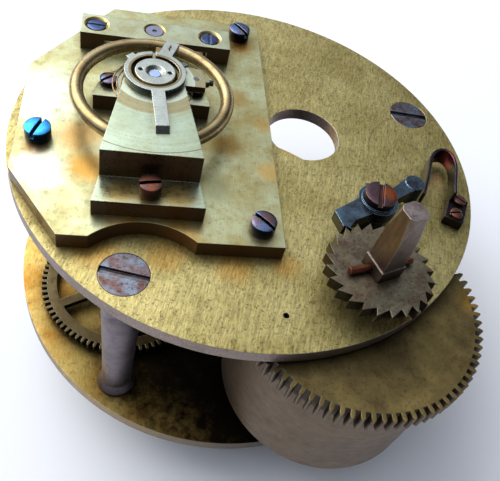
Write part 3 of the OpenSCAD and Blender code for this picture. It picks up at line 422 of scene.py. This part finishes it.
# Brass from the lathe, never polished since: dull brown gold with rings round the drum, greyer on its
# upright faces and black between the teeth, both painted shade. Real tool marks are some 0.05 mm wide,
# so they are drawn 0.12 mm wide to show.
drum_brass = metal("dull turned brass", "#94814e", "#766540", "#1d150d", grain=(2.6, 2.6, 0.12), patch_mm=8,
                   rough=0.48, relief=0.03, wall="#75655a", wall_share=0.8, occlusion_shade=0.9, occlusion_shade_mm=12,
                   edge="#a59a78", marks_share=0.3, pits=0.4, pit_mm=0.5, pit_from=0.56,
                   stains_and_painted_light=[(31.0, -24.5, 2.6, "#b98a30", 0.6)])
for node in ("barrel_drum", "barrel_cover"):
    dress(eased(node, 0.06, 1), drum_brass, node)

# Winding arbor, ratchet and pin
# The steel arbor of the barrel goes up through the back plate. Its tapering square takes the
# ratchet wheel of 24 saw teeth, held down by a cross pin, and above it the key.

# Steel browned by age and handling: rosy grey on top, where the key has rubbed it, and dark brown
# on its sides as painted shade, with fine streaks up the square drawn 0.5 mm wide, coarser than real
# ones, to show.
arbor_steel = metal("bronzed steel, rubbed by the key", "#b5a8a2", "#8f7a74", "#2b1a18",
                    grain=(0.5, 0.5, 2.4), patch_mm=2.6, rough=0.34, edge="#cdb9a8", wall="#5f4f42",
                    wall_share=0.9, pits=0.5, pit_mm=0.6, pit_from=0.56, marks_share=0.25)
dress(eased("barrel_arbor", 0.28, 3), arbor_steel, "barrel_arbor")
# Steel under a dried film of oil: matt olive brown, darker in patches, and painted near black on the
# upright faces of its teeth as painted shade. The marks of the file, too fine to show, are drawn 0.5 mm
# wide.
ratchet_steel = metal("olive brown oiled steel", "#87806a", "#6a5a48", "#1f1713", grain=(0.9, 0.5, 0.2),
                      slant=30, patch_mm=3.2, rough=0.42, edge="#8f8670", wall="#1d1511",
                      wall_share=0.8, pits=0.5, pit_mm=0.4, pit_from=0.55, marks_share=0.25)
dress(eased("ratchet_wheel", 0.1), ratchet_steel, "ratchet_wheel")
# Bare steel wire gone to rust: red brown and grainy, with no shine. Its grit is drawn 0.3 mm wide,
# because the real one is too fine to show.
rust = metal("rusty steel", "#7a4630", "#5f3527", "#24140f", grain=(0.3, 0.3, 0.3), patch_mm=1.1, rough=0.5,
             edge="#c98a5e", pits=0.6)
dress(eased("ratchet_pin", 0.12), rust, "ratchet_pin")


# Mainspring
# A long strip of hardened steel, hooked to the arbor inside and to the drum outside. It is run
# down, so most of its turns lie against the drum's wall.
def coiled_strip(name, node, material, line_mm, thick_mm, low_mm, high_mm):
    """A flat steel strip on edge that follows a line of points."""
    line = bpy.data.curves.new(name, "CURVE")
    line.dimensions = "3D"
    way = line.splines.new("POLY")
    way.points.add(len(line_mm) - 1)
    for point, (x, y) in zip(way.points, line_mm):
        point.co = (x * MM, y * MM, (low_mm + high_mm) / 2 * MM, 1)
    line.extrude = (high_mm - low_mm) / 2 * MM
    strip = bpy.data.objects.new(name, line)
    scene.collection.objects.link(strip)
    only(strip)
    bpy.ops.object.convert(target="MESH")
    strip = bpy.context.object
    wall = strip.modifiers.new("thickness", "SOLIDIFY")
    wall.thickness = thick_mm * MM
    wall.offset = 0
    bpy.ops.object.modifier_apply(modifier=wall.name)
    round_edges(strip, thick_mm * 0.2, 1)
    dress(strip, material, node)


# Rolled spring steel: smooth and dark, with a cold blue glint. The marks of the rolls, too fine to
# show, are drawn 0.2 mm wide.
spring_steel = metal("dark spring steel", "#4b4f58", "#3a3a40", "#1b1816", grain=(2.0, 2.0, 0.2),
                     patch_mm=3, rough=0.3, edge="#9aa3b0")
core_r, first_turn_r, drum_wall_r, pitch = 4.95, 7.95, 14.55, 0.95
free_degrees, laid_turns = 300, 6.95
main_line = []
for degrees in range(0, free_degrees + int(360 * laid_turns), 6):
    if degrees < free_degrees:
        r = core_r + (first_turn_r - core_r) * (degrees / free_degrees) ** 1.4
    else:
        r = min(first_turn_r + (degrees - free_degrees) / 360 * pitch, drum_wall_r)
    main_line.append(on_circle(*BARREL, r, degrees))
spring_low, spring_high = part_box("mainspring")
coiled_strip("mainspring_strip", "mainspring", spring_steel, main_line, thick_mm=0.4,
             low_mm=spring_low[2] / MM, high_mm=spring_high[2] / MM)

# Click and its screw
# A flat click, filed from steel, drops its beak into the ratchet. It turns on a screw with a
# shoulder, which stands in the back plate.

# Steel blued by heat and since rubbed: slate blue faces streaked along the click, pale edges painted as
# a highlight and black sides painted as shade. The marks of the file, too fine to show, are drawn 0.2
# mm wide.
click_steel = metal("dark blued steel", "#627888", "#40474f", "#15120f", grain=(1.4, 0.2, 0.3),
                    slant=25, patch_mm=2.4, rough=0.26, edge="#a9c4dc", wall="#1a1718", wall_share=0.85,
                    marks_share=0.25)
dress(eased("click", 0.12), click_steel, "click")
# Steel with a purple brown skin of oxide, and one side of its head gone to orange rust. Its grit is
# drawn 0.3 mm wide, because the real one is too fine to show.
# Its upright sides are painted near black: painted shade.
half_rusted = metal("purple brown steel, rusted on one side", "#5c474c", "#4c383c", "#1c100d",
                    grain=(0.3, 0.3, 0.3), patch_mm=1.5, rough=0.38, edge="#c9967a", pits=0.5,
                    wall="#2a1c1b", wall_share=0.8,
                    stains_and_painted_light=[(17.5, -13.2, 1.5, "#a8582c", 0.9)])
click_screw = slotted_screw("click_screw_1", "click_screw", half_rusted, head_r=2.28, height=1.0,
                            shank_r=1.3, length=5.0, slot_wide=0.72, crown=0.06)
set_in_place(click_screw, [(16.1, -13.3, 37.2, 75.7)])

# Click spring
# A thin strip of spring steel, bent back on itself. Its foot is screwed down with two screws near
# the edge of the plate, and its free end leans on the click's tail.
bends = [((24.25, -10.35), (25.0, -8.8), (26.3, -5.6), (27.2, -3.3)),
         ((27.2, -3.3), (28.5, 0.3), (31.9, 0.6), (31.4, -3.2)),
         ((31.4, -3.2), (31.2, -5.2), (29.9, -7.6), (29.6, -9.6))]
steps = 12
bent_line = []
for a, b, c, d in bends:
    for step in range(steps):
        t = step / steps
        bent_line.append([(1 - t) ** 3 * a[k] + 3 * t * (1 - t) ** 2 * b[k] + 3 * t * t * (1 - t) * c[k]
                          + t ** 3 * d[k] for k in (0, 1)])
bent_line.append(bends[-1][3])
# Spring steel left black from hardening, reddened on its bend, with painted grey glints on its edges.
# Its scale is drawn 0.3 mm wide, because the real one is too fine to show.
black_spring = metal("black spring steel, reddened on its bend", "#3a3438", "#2a2223", "#120c0b",
                     grain=(0.3, 0.3, 1.4), patch_mm=2.4, rough=0.3, edge="#8d8a96",
                     stains_and_painted_light=[(31.0, -1.6, 1.8, "#7a3040", 0.7)])
coiled_strip("click_spring_strip", "click_spring", black_spring, bent_line, thick_mm=0.5, low_mm=33.0,
             high_mm=35.8)

foot_x, foot_y, foot_turn = 30.28, -10.83, 63.5
foot_long, foot_wide, foot_high = 5, 2.94, 1.6
bpy.ops.object.select_all(action="DESELECT")
bpy.ops.mesh.primitive_cube_add(size=1)
foot = bpy.context.object
foot.name = "click_spring_foot"
foot.data.transform(put(foot_x, foot_y, 33.0, foot_turn) @ put(-0.2, 0, 0)
                    @ Matrix.Diagonal((foot_long * MM, foot_wide * MM, foot_high * MM, 1)))
round_edges(foot, 0.15)
dress(foot, black_spring, "click_spring")
# Small heads with the same purple brown skin and freckles of orange rust, drawn with a grit of
# 0.3 mm, coarser than the real one, to show. Their sides are painted dark as shade.
rusty_head = metal("purple brown steel with orange rust", "#63494d", "#8c5236", "#1c100d",
                   grain=(0.3, 0.3, 0.3), patch_mm=1.5, rough=0.4, edge="#c9967a", pits=0.5,
                   wall="#24191a", wall_share=0.8)
foot_screw = slotted_screw("spring_screw_1", "click_spring_screws", rusty_head, head_r=0.95, height=0.6,
                           shank_r=0.6, length=2.9, slot_wide=0.3, crown=0.08)
set_in_place(foot_screw, [(*on_circle(foot_x, foot_y, along, foot_turn), 33.8, turn)
                          for along, turn in ((-1.72, 3), (1.3, -42))])

# Wheel train and motion work
# Brass wheels, crossed out and riveted on arbors of hardened steel with their pinions cut on them.
# Under the front plate lie the cannon pinion, the minute wheel and the hour wheel.

# Stamped brass with a satin face: brown gold at its best, painted black with shade deep between the
# plates. The grain, too fine to show, is drawn 0.15 mm wide.
wheel_brass = metal("satin wheel brass", "#786b4b", "#5a4d34", "#120d09", grain=(0.15, 1.5, 0.15),
                    patch_mm=6, rough=0.42, wall="#3a2c1c", wall_share=0.6, occlusion_shade=1.0, occlusion_shade_mm=18)
for node in ("intermediate_wheel", "centre_wheel", "third_wheel", "fourth_wheel", "minute_wheel",
             "hour_wheel"):
    dress(frame["nodes"][node], wheel_brass, node)
# Hardened steel, polished in the lathe: cool grey with rings of light round each arbor, drawn
# 0.08 mm wide, because the real marks are too fine to show.
# It is painted darker with shade between the plates.
train_steel = metal("hardened arbor steel", "#83838a", "#66646a", "#1f1a18", grain=(1.2, 1.2, 0.08),
                    patch_mm=4, rough=0.3, edge="#d6d8de", occlusion_shade=0.85, occlusion_shade_mm=8)
for node in ("intermediate_arbor", "centre_arbor", "third_arbor", "fourth_arbor", "escape_arbor",
             "cannon_pinion", "minute_stud"):
    dress(frame["nodes"][node], train_steel, node)

# Platform
# The escapement comes as a unit on its own brass plate, with a hollowed front edge and cut
# corners. Three blued screws hold it on the back plate.

# Fine grained brass gone pale and greenish, with golden brown stains round its screws and along
# its edges, where oil has run. The grain, too fine to show, is drawn 0.12 mm wide.
# Two mint white patches on its left are a painted highlight, and its upright faces are painted shade.
platform_brass = metal("pale platform brass, stained round its screws", "#c2c59b", "#a89a62", "#6a5020",
                       grain=(0.12, 2.6, 0.12), patch_mm=6, rough=0.36, relief=0.008, wall="#604636",
                       wall_share=0.95, pits=0.35, pit_mm=0.5, pit_from=0.57, marks_share=0.1,
                       edge="#b9ab84",
                       stains_and_painted_light=[(-30.5, -6.8, 1.9, "#a5691f", 0.75), (-0.9, 21.3, 1.9, "#a5691f", 0.75),
                               (-0.6, -18.4, 2.2, "#a97b34", 0.5), (-25.2, -3.8, 3.6, "#c48a34", 0.6),
                               (-23.4, -9.5, 3.2, "#d39a3c", 0.65), (-4.2, -3, 2.6, "#8f6a2c", 0.6),
                               (1.6, -7.5, 2.2, "#d2a044", 0.6), (1.7, 2, 2.0, "#c29440", 0.5),
                               (-11.3, -19.6, 3.0, "#cf9c42", 0.6), (-18.5, -18.8, 2.6, "#cf9c42", 0.55),
                               (-2.6, 8, 2.6, "#a27c34", 0.6), (-6.5, -11.5, 2.8, "#8c8b62", 0.7),
                               (-32, 4, 6.5, "#cfe2d8", 0.7), (-29.5, -10.5, 4, "#d3e4d6", 0.6)])
dress(eased("platform_plate", 0.12), platform_brass, "platform_plate")
platform_top = 34.7

# Bridges of the pallets and of the escape wheel
# Two brass bars, each on two feet with two screws and a jewel hole. The bar over the escape wheel
# has a broad bright chamfer round each screw sink and round its jewel.
escape_sinks = ((-24.3, 18.2), (-6.6, 18.2))
escape_jewel = (-15.4, 18.4)
# Brass gone grey green, grained along the bar, with brown sides painted as shade and pale gold where
# the sinks are cut. The grain, too fine to show, is drawn 0.1 mm wide.
bridge_brass = metal("grey green bridge brass", "#c0c7a8", "#a9a67e", "#5c4a2a", grain=(2.4, 0.1, 0.1),
                     patch_mm=5, rough=0.32, relief=0.008, wall="#5e4638", wall_share=0.95, pits=0.3,
                     marks_share=0.12, edge="#e2dcb6",
                     bands_and_painted_light=[(*sink, 1.56, 1.95, "#e0c67e", 0.8) for sink in escape_sinks]
                     + [(*escape_jewel, 1.37, 1.72, "#c4a55c", 0.85)])
dress(eased("pallet_bridge", 0.12), bridge_brass, "pallet_bridge")

# the top edges round the sinks and the jewel are picked out and cut off
bridge = merged("escape_bridge")
bpy.ops.object.mode_set(mode="EDIT")
bpy.ops.mesh.select_mode(type="EDGE")
bpy.ops.mesh.select_all(action="DESELECT")
bpy.ops.object.mode_set(mode="OBJECT")
bridge_top = max(corner.co.z for corner in bridge.data.vertices) / MM
rims = [(*sink, 1.7) for sink in escape_sinks] + [(*escape_jewel, 1.5)]
for side in bridge.data.edges:
    ends = [bridge.data.vertices[i].co / MM for i in side.vertices]
    for x, y, radius in rims:
        if all(end.z > bridge_top - 0.01 and math.hypot(end.x - x, end.y - y) < radius for end in ends):
            side.select = True
bpy.ops.object.mode_set(mode="EDIT")
bpy.ops.mesh.bevel(offset=0.34 * MM, segments=1)
bpy.ops.object.mode_set(mode="OBJECT")
round_edges(bridge, 0.08)
dress(bridge, bridge_brass, "escape_bridge")

# Blued screws of the platform and its bridges
# Steel screws, polished and blued over a flame. Those of the platform stand proud of it, and those
# of the bridges are sunk.

# Flame blued steel: deep blue with painted bright glints on its edges, gone brown where it is worn,
# and painted black with shade on its sides. The polishing marks, too fine to show, are drawn 0.2 mm
# wide.
blued = metal("blued polished steel", "#5f7ba6", "#7a5648", "#131216", grain=(0.2, 0.9, 0.2), patch_mm=1.9,
              rough=0.24, edge="#b9cfe8", wall="#121318", wall_share=0.95, pits=0.35, pit_mm=0.5)
platform_screw = slotted_screw("platform_screw_1", "platform_screws", blued, head_r=1.75, height=1.8,
                               shank_r=0.9, length=4.4, slot_wide=0.5, crown=0.1)
set_in_place(platform_screw, [(-30.4, -4.5, platform_top, 70), (-1.1, 23.7, platform_top, 128),
                              (-0.55, -18.2, platform_top, 135)])
# The first one is painted a bright sky blue, a painted reflection of the window in its blue steel. Its
# marks are drawn as coarse as on the others.
sky_reflection_blued = metal("bright sky blue tempered steel", "#3fa6ea", "#2f7fd0", "#0f1c34",
                     grain=(0.2, 0.9, 0.2), patch_mm=2.2, rough=0.3, edge="#9fd8ff", wall="#121318",
                     wall_share=0.95, pits=0.25)
dress(platform_screw, sky_reflection_blued, "platform_screws")
pallet_screw = slotted_screw("pallet_bridge_screw_1", "pallet_bridge_screws", blued, head_r=1.25,
                             height=0.9, shank_r=0.62, length=3.0, slot_wide=0.4, crown=0.08)
pallet_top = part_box("pallet_bridge_screws")[1][2] / MM
set_in_place(pallet_screw, [(x, 5, pallet_top - 0.9, 40) for x in (-21.7, -9.1)])
# Flat blued heads faded to slate, with a soft grey blue sheen. Their marks are drawn as coarse too.
slate_blued = metal("slate blue steel", "#4b5d88", "#3d4566", "#14161f", grain=(0.2, 0.9, 0.2),
                    patch_mm=1.9, rough=0.3, edge="#9fb6dc", pits=0.3)
escape_screw = slotted_screw("escape_bridge_screw_1", "escape_bridge_screws", slate_blued, head_r=1.4,
                             height=0.4, shank_r=0.72, length=4.0, slot_wide=0.42, crown=0.05)
set_in_place(escape_screw, [(*sink, 37.1, turn) for sink, turn in zip(escape_sinks, (-4, 88))])

# Escape wheel, lever and jewels
# A gilt escape wheel of fifteen club teeth drives a steel lever with two ruby pallets, which rocks
# between two pins. Pivots run in jewels, and the long escape arbor below in a screwed brass potence.

# Gilt brass gone pale: even and soft, a little brighter than the brass round it. Its grain, too
# fine to show, is drawn 0.1 mm wide.
pale_brass = metal("pale gilt brass", "#c9b57c", "#a9925a", "#4c3a20", grain=(0.1, 0.9, 0.1), patch_mm=3,
                   rough=0.28)
dress(frame["nodes"]["escape_wheel"], pale_brass, "escape_wheel")
dress(frame["nodes"]["escape_potence"], wheel_brass, "escape_potence")
for node in ("pallet_lever", "pallet_arbor", "banking_pins", "potence_screw"):
    dress(frame["nodes"][node], train_steel, node)


def stone(name, body, depth):
    """A polished stone, clouded from its body colour to that of its depth."""
    cloud_mm = 0.5
    made, tree = blank_material(name)
    place = add(tree, "ShaderNodeTexCoord").outputs["Object"]
    cloud = add(tree, "ShaderNodeTexNoise", {"Vector": place, "Scale": 1 / (cloud_mm * MM), "Detail": 2})
    tone = add(tree, "ShaderNodeMix", {0: cloud.outputs["Fac"], 6: linear(body), 7: linear(depth)},
               data_type="RGBA")
    skin = add(tree, "ShaderNodeBsdfPrincipled", {"Base Color": tone.outputs[2], "Roughness": 0.3,
                                                  "IOR": 1.77})
    add(tree, "ShaderNodeOutputMaterial", {"Surface": skin.outputs[0]})
    return made


# Ruby, sawn and polished: a deep red spark in a dark setting.
ruby = stone("ruby", "#8e2742", "#5e1024")
for node in ("lower_jewels", "pallet_stones"):
    dress(frame["nodes"][node], ruby, node)
# The upper ones are the ruby painted lilac grey: a painted reflection of the daylight.
daylight_reflection_ruby = stone("pale ruby, grey in daylight", "#878daa", "#686a86")
dress(frame["nodes"]["upper_jewels"], daylight_reflection_ruby, "upper_jewels")

# Balance
# A plain balance, turned from brass and gilt: a round rim on two arms. It is riveted to a steel
# staff, which also carries the roller with its impulse pin.
STAFF = (-15.4, 1.7)
balance_z = 39.2
rim_r, rim_wire_r = 11.48, 0.975
# Gilt brass, turned and buffed: a warm satin with one bright line of light round the rim. The
# turned rings, too fine to show, are drawn 0.35 mm wide.
balance_gilt = metal("satin gilt brass", "#b3a075", "#977f52", "#4d3820", rings=(*STAFF, 0.35),
                     patch_mm=5, rough=0.27, relief=0.006, pits=0.12, marks_share=0.08, edge="#efe0ba")
# the rim is a round section spun about the staff, and the two arms and the hub are joined to it
bpy.ops.object.select_all(action="DESELECT")
rim_at = put(STAFF[0] + rim_r - rim_wire_r, STAFF[1], balance_z).translation
bpy.ops.mesh.primitive_circle_add(vertices=24, radius=rim_wire_r * MM, rotation=(math.pi / 2, 0, 0),
                                  location=rim_at)
balance = bpy.context.object
balance.name = "balance_rim_and_arms"
bpy.ops.object.transform_apply(location=True, rotation=True)
bpy.ops.object.mode_set(mode="EDIT")
bpy.ops.mesh.select_all(action="SELECT")
bpy.ops.mesh.spin(steps=144, angle=math.tau, center=put(*STAFF, balance_z).translation, axis=(0, 0, 1))
bpy.ops.mesh.select_all(action="SELECT")
bpy.ops.mesh.remove_doubles(threshold=0.004 * MM)
bpy.ops.mesh.normals_make_consistent(inside=False)
bpy.ops.object.mode_set(mode="OBJECT")
balance_parts = [balance]
arm_long, arm_wide, arm_high = 9.4, 1.6, 0.8
for angle in (84, 264):
    bpy.ops.object.select_all(action="DESELECT")
    bpy.ops.mesh.primitive_cube_add(size=1)
    arm = bpy.context.object
    arm.data.transform(put(*STAFF, balance_z, angle) @ put(5.4, 0, 0)
                       @ Matrix.Diagonal((arm_long * MM, arm_wide * MM, arm_high * MM, 1)))
    round_edges(arm, 0.12)
    balance_parts.append(arm)
bpy.ops.object.select_all(action="DESELECT")
bpy.ops.mesh.primitive_cylinder_add(vertices=64, radius=1.9 * MM, depth=arm_high * MM,
                                    location=put(*STAFF, balance_z).translation)
hub = bpy.context.object
bpy.ops.object.transform_apply(location=True)
round_edges(hub, 0.15)
balance_parts.append(hub)
for part in balance_parts:
    part.select_set(True)
bpy.context.view_layer.objects.active = balance
bpy.ops.object.join()
bpy.ops.object.shade_smooth_by_angle(angle=math.radians(30))
dress(balance, balance_gilt, "balance_wheel")
for node in ("balance_staff", "roller"):
    dress(frame["nodes"][node], train_steel, node)

# Hairspring, collet and stud
# A flat spiral of fine steel strip over the arms of the balance. It is wound on a split brass
# collet, and pinned outside to a steel stud, which a screw holds in the ear of the cock.
dress(frame["nodes"]["collet"], pale_brass, "collet")
dress(frame["nodes"]["stud"], train_steel, "stud")
dress(frame["nodes"]["stud_screw"], spring_steel, "stud_screw")
# Spring steel tempered to straw: thin warm bronze lines. It is too thin for marks to show, so they
# are drawn 0.2 mm wide, as a slow change of tone.
coil_steel = metal("straw tempered spring steel", "#b98f5c", "#7c5a3c", "#33231a", grain=(0.6, 0.6, 0.2),
                   patch_mm=2, rough=0.25, edge="#e3c79a", pits=0.1)
coil_inner_r, coil_outer_r = 1.15, 5.8
coil_steps, growing_steps, step_degrees, stud_degrees = 576, 558, 5, 9
coil_line = []
for i in range(coil_steps + 1):
    r = coil_inner_r + (coil_outer_r - coil_inner_r) * min(i / growing_steps, 1)
    coil_line.append(on_circle(*STAFF, r, stud_degrees + (coil_steps - i) * step_degrees))
coiled_strip("hairspring_coil", "hairspring", coil_steel, coil_line, thick_mm=0.16, low_mm=39.98,
             high_mm=40.28)

# Balance cock
# The cock is filed from a brass block. It reaches over the balance from its stepped foot, which
# stands on the platform and is held by one screw.

# Brass turned on its top, gone pale green, with brown rings where it has worn, a pale ring round the
# index painted as a highlight, brown sides painted as shade, and golden stains on its step. The turned
# rings, too fine to show, are drawn 0.5 mm wide.
step_gold = "#b79a52"
cock_brass = metal("pale cock brass, turned on top", "#b9c8ae", "#a9b08e", "#6b5a34", rings=(*STAFF, 0.5),
                   patch_mm=6, rough=0.28, relief=0.006, wall="#5a4031", wall_share=0.95, pits=0.15,
                   marks_share=0.06,
                   stains_and_painted_light=[(-18.8, -15.8, 2.6, step_gold, 0.85), (-15.4, -15.8, 2.6, step_gold, 0.85),
                           (-11.8, -15.8, 2.8, step_gold, 0.85)],
                   bands_and_painted_light=[(*STAFF, 4.5, 5.6, "#dde6cf", 0.7), (*STAFF, 5.6, 7.7, "#a3946a", 0.75),
                          (*STAFF, 14.62, 14.8, "#5b4a30", 0.7)])
dress(eased("balance_cock", 0.12), cock_brass, "balance_cock")
cock_screw = slotted_screw("cock_screw_1", "cock_screw", rusty_head, head_r=1.45, height=1.9, shank_r=0.8,
                           length=4.6, slot_wide=0.5, crown=0.06)
set_in_place(cock_screw, [(-15.4, -15.6, 37.4, 10)])

# Index
# A steel ring with a long tail, split and sprung on the cone of the cap, so that it turns stiffly.
# Its two brass curb pins hold the hairspring.

# Polished steel: smooth and nearly white, with dark sides painted as shade and a brown line inside the
# ring. The polishing rings, too fine to show, are drawn 0.22 mm wide.
index_steel = metal("polished index steel", "#c3c9be", "#a9ada2", "#4a463c", rings=(*STAFF, 0.22),
                    patch_mm=3, rough=0.22, relief=0.004, wall="#3a352c", wall_share=0.85, pits=0.1,
                    marks_share=0.08, edge="#f2f4f0", bands_and_painted_light=[(*STAFF, 3.28, 3.62, "#8d7442", 0.9)])
dress(eased("index", 0.1), index_steel, "index")
dress(frame["nodes"]["curb_pins"], pale_brass, "curb_pins")

# Endstone and its cap
# A dished steel cap, turned conical outside and held by two tiny screws, covers the upper pivot of
# the balance. A small domed endstone is set in its middle.

# the lower rim of the cap is spread to make its cone
cap = merged("endstone_cap")
cap_low = min(corner.co.z for corner in cap.data.vertices)
for part in list(cap.data.polygons) + list(cap.data.edges) + list(cap.data.vertices):
    part.select = False
for corner in cap.data.vertices:
    from_staff = (corner.co.xy - Vector(STAFF) * MM).length
    corner.select = corner.co.z < cap_low + 0.05 * MM and from_staff > 2.6 * MM
bpy.ops.object.mode_set(mode="EDIT")
bpy.ops.mesh.select_mode(type="VERT")
bpy.ops.transform.resize(value=(1.17, 1.17, 1), center_override=(STAFF[0] * MM, STAFF[1] * MM, cap_low))
bpy.ops.object.mode_set(mode="OBJECT")
round_edges(cap, 0.06)
# Polished steel like the index, golden brown round its cone. Its marks, too fine to show, are drawn
# 0.12 mm wide.
cap_steel = metal("polished cap steel, browned on its cone", "#c3c9be", "#a9ada2", "#6a5a3c", patch_mm=3,
                  rough=0.24, relief=0.004, pits=0.1, marks_share=0.05, edge="#f2f4f0", occlusion_shade=0.4,
                  bands_and_painted_light=[(*STAFF, 2.74, 3.4, "#a5884c", 0.95)])
dress(cap, cap_steel, "endstone_cap")
bpy.ops.object.select_all(action="DESELECT")
bpy.ops.mesh.primitive_cylinder_add(vertices=48, radius=0.78 * MM, depth=0.44 * MM,
                                    location=(STAFF[0] * MM, STAFF[1] * MM, cap_low + 0.23 * MM))
end_stone = bpy.context.object
end_stone.name = "domed_endstone"
bpy.ops.object.transform_apply(location=True)
round_edges(end_stone, 0.14, 3)
# A polished stone painted pale milky blue as a highlight: a small drop of light in the middle of the cap.
dress(end_stone, stone("pale endstone", "#b4cbf5", "#93b2ec"), "endstone")
cap_screw = slotted_screw("cap_screw_1", "cap_screws", spring_steel, head_r=0.33, height=0.3, shank_r=0.25,
                          length=1.4, slot_wide=0.14)
cap_screw_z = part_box("cap_screws")[1][2] / MM - 0.3
set_in_place(cap_screw, [(*on_circle(*STAFF, 2, degrees), cap_screw_z, 60) for degrees in (177, 357)])
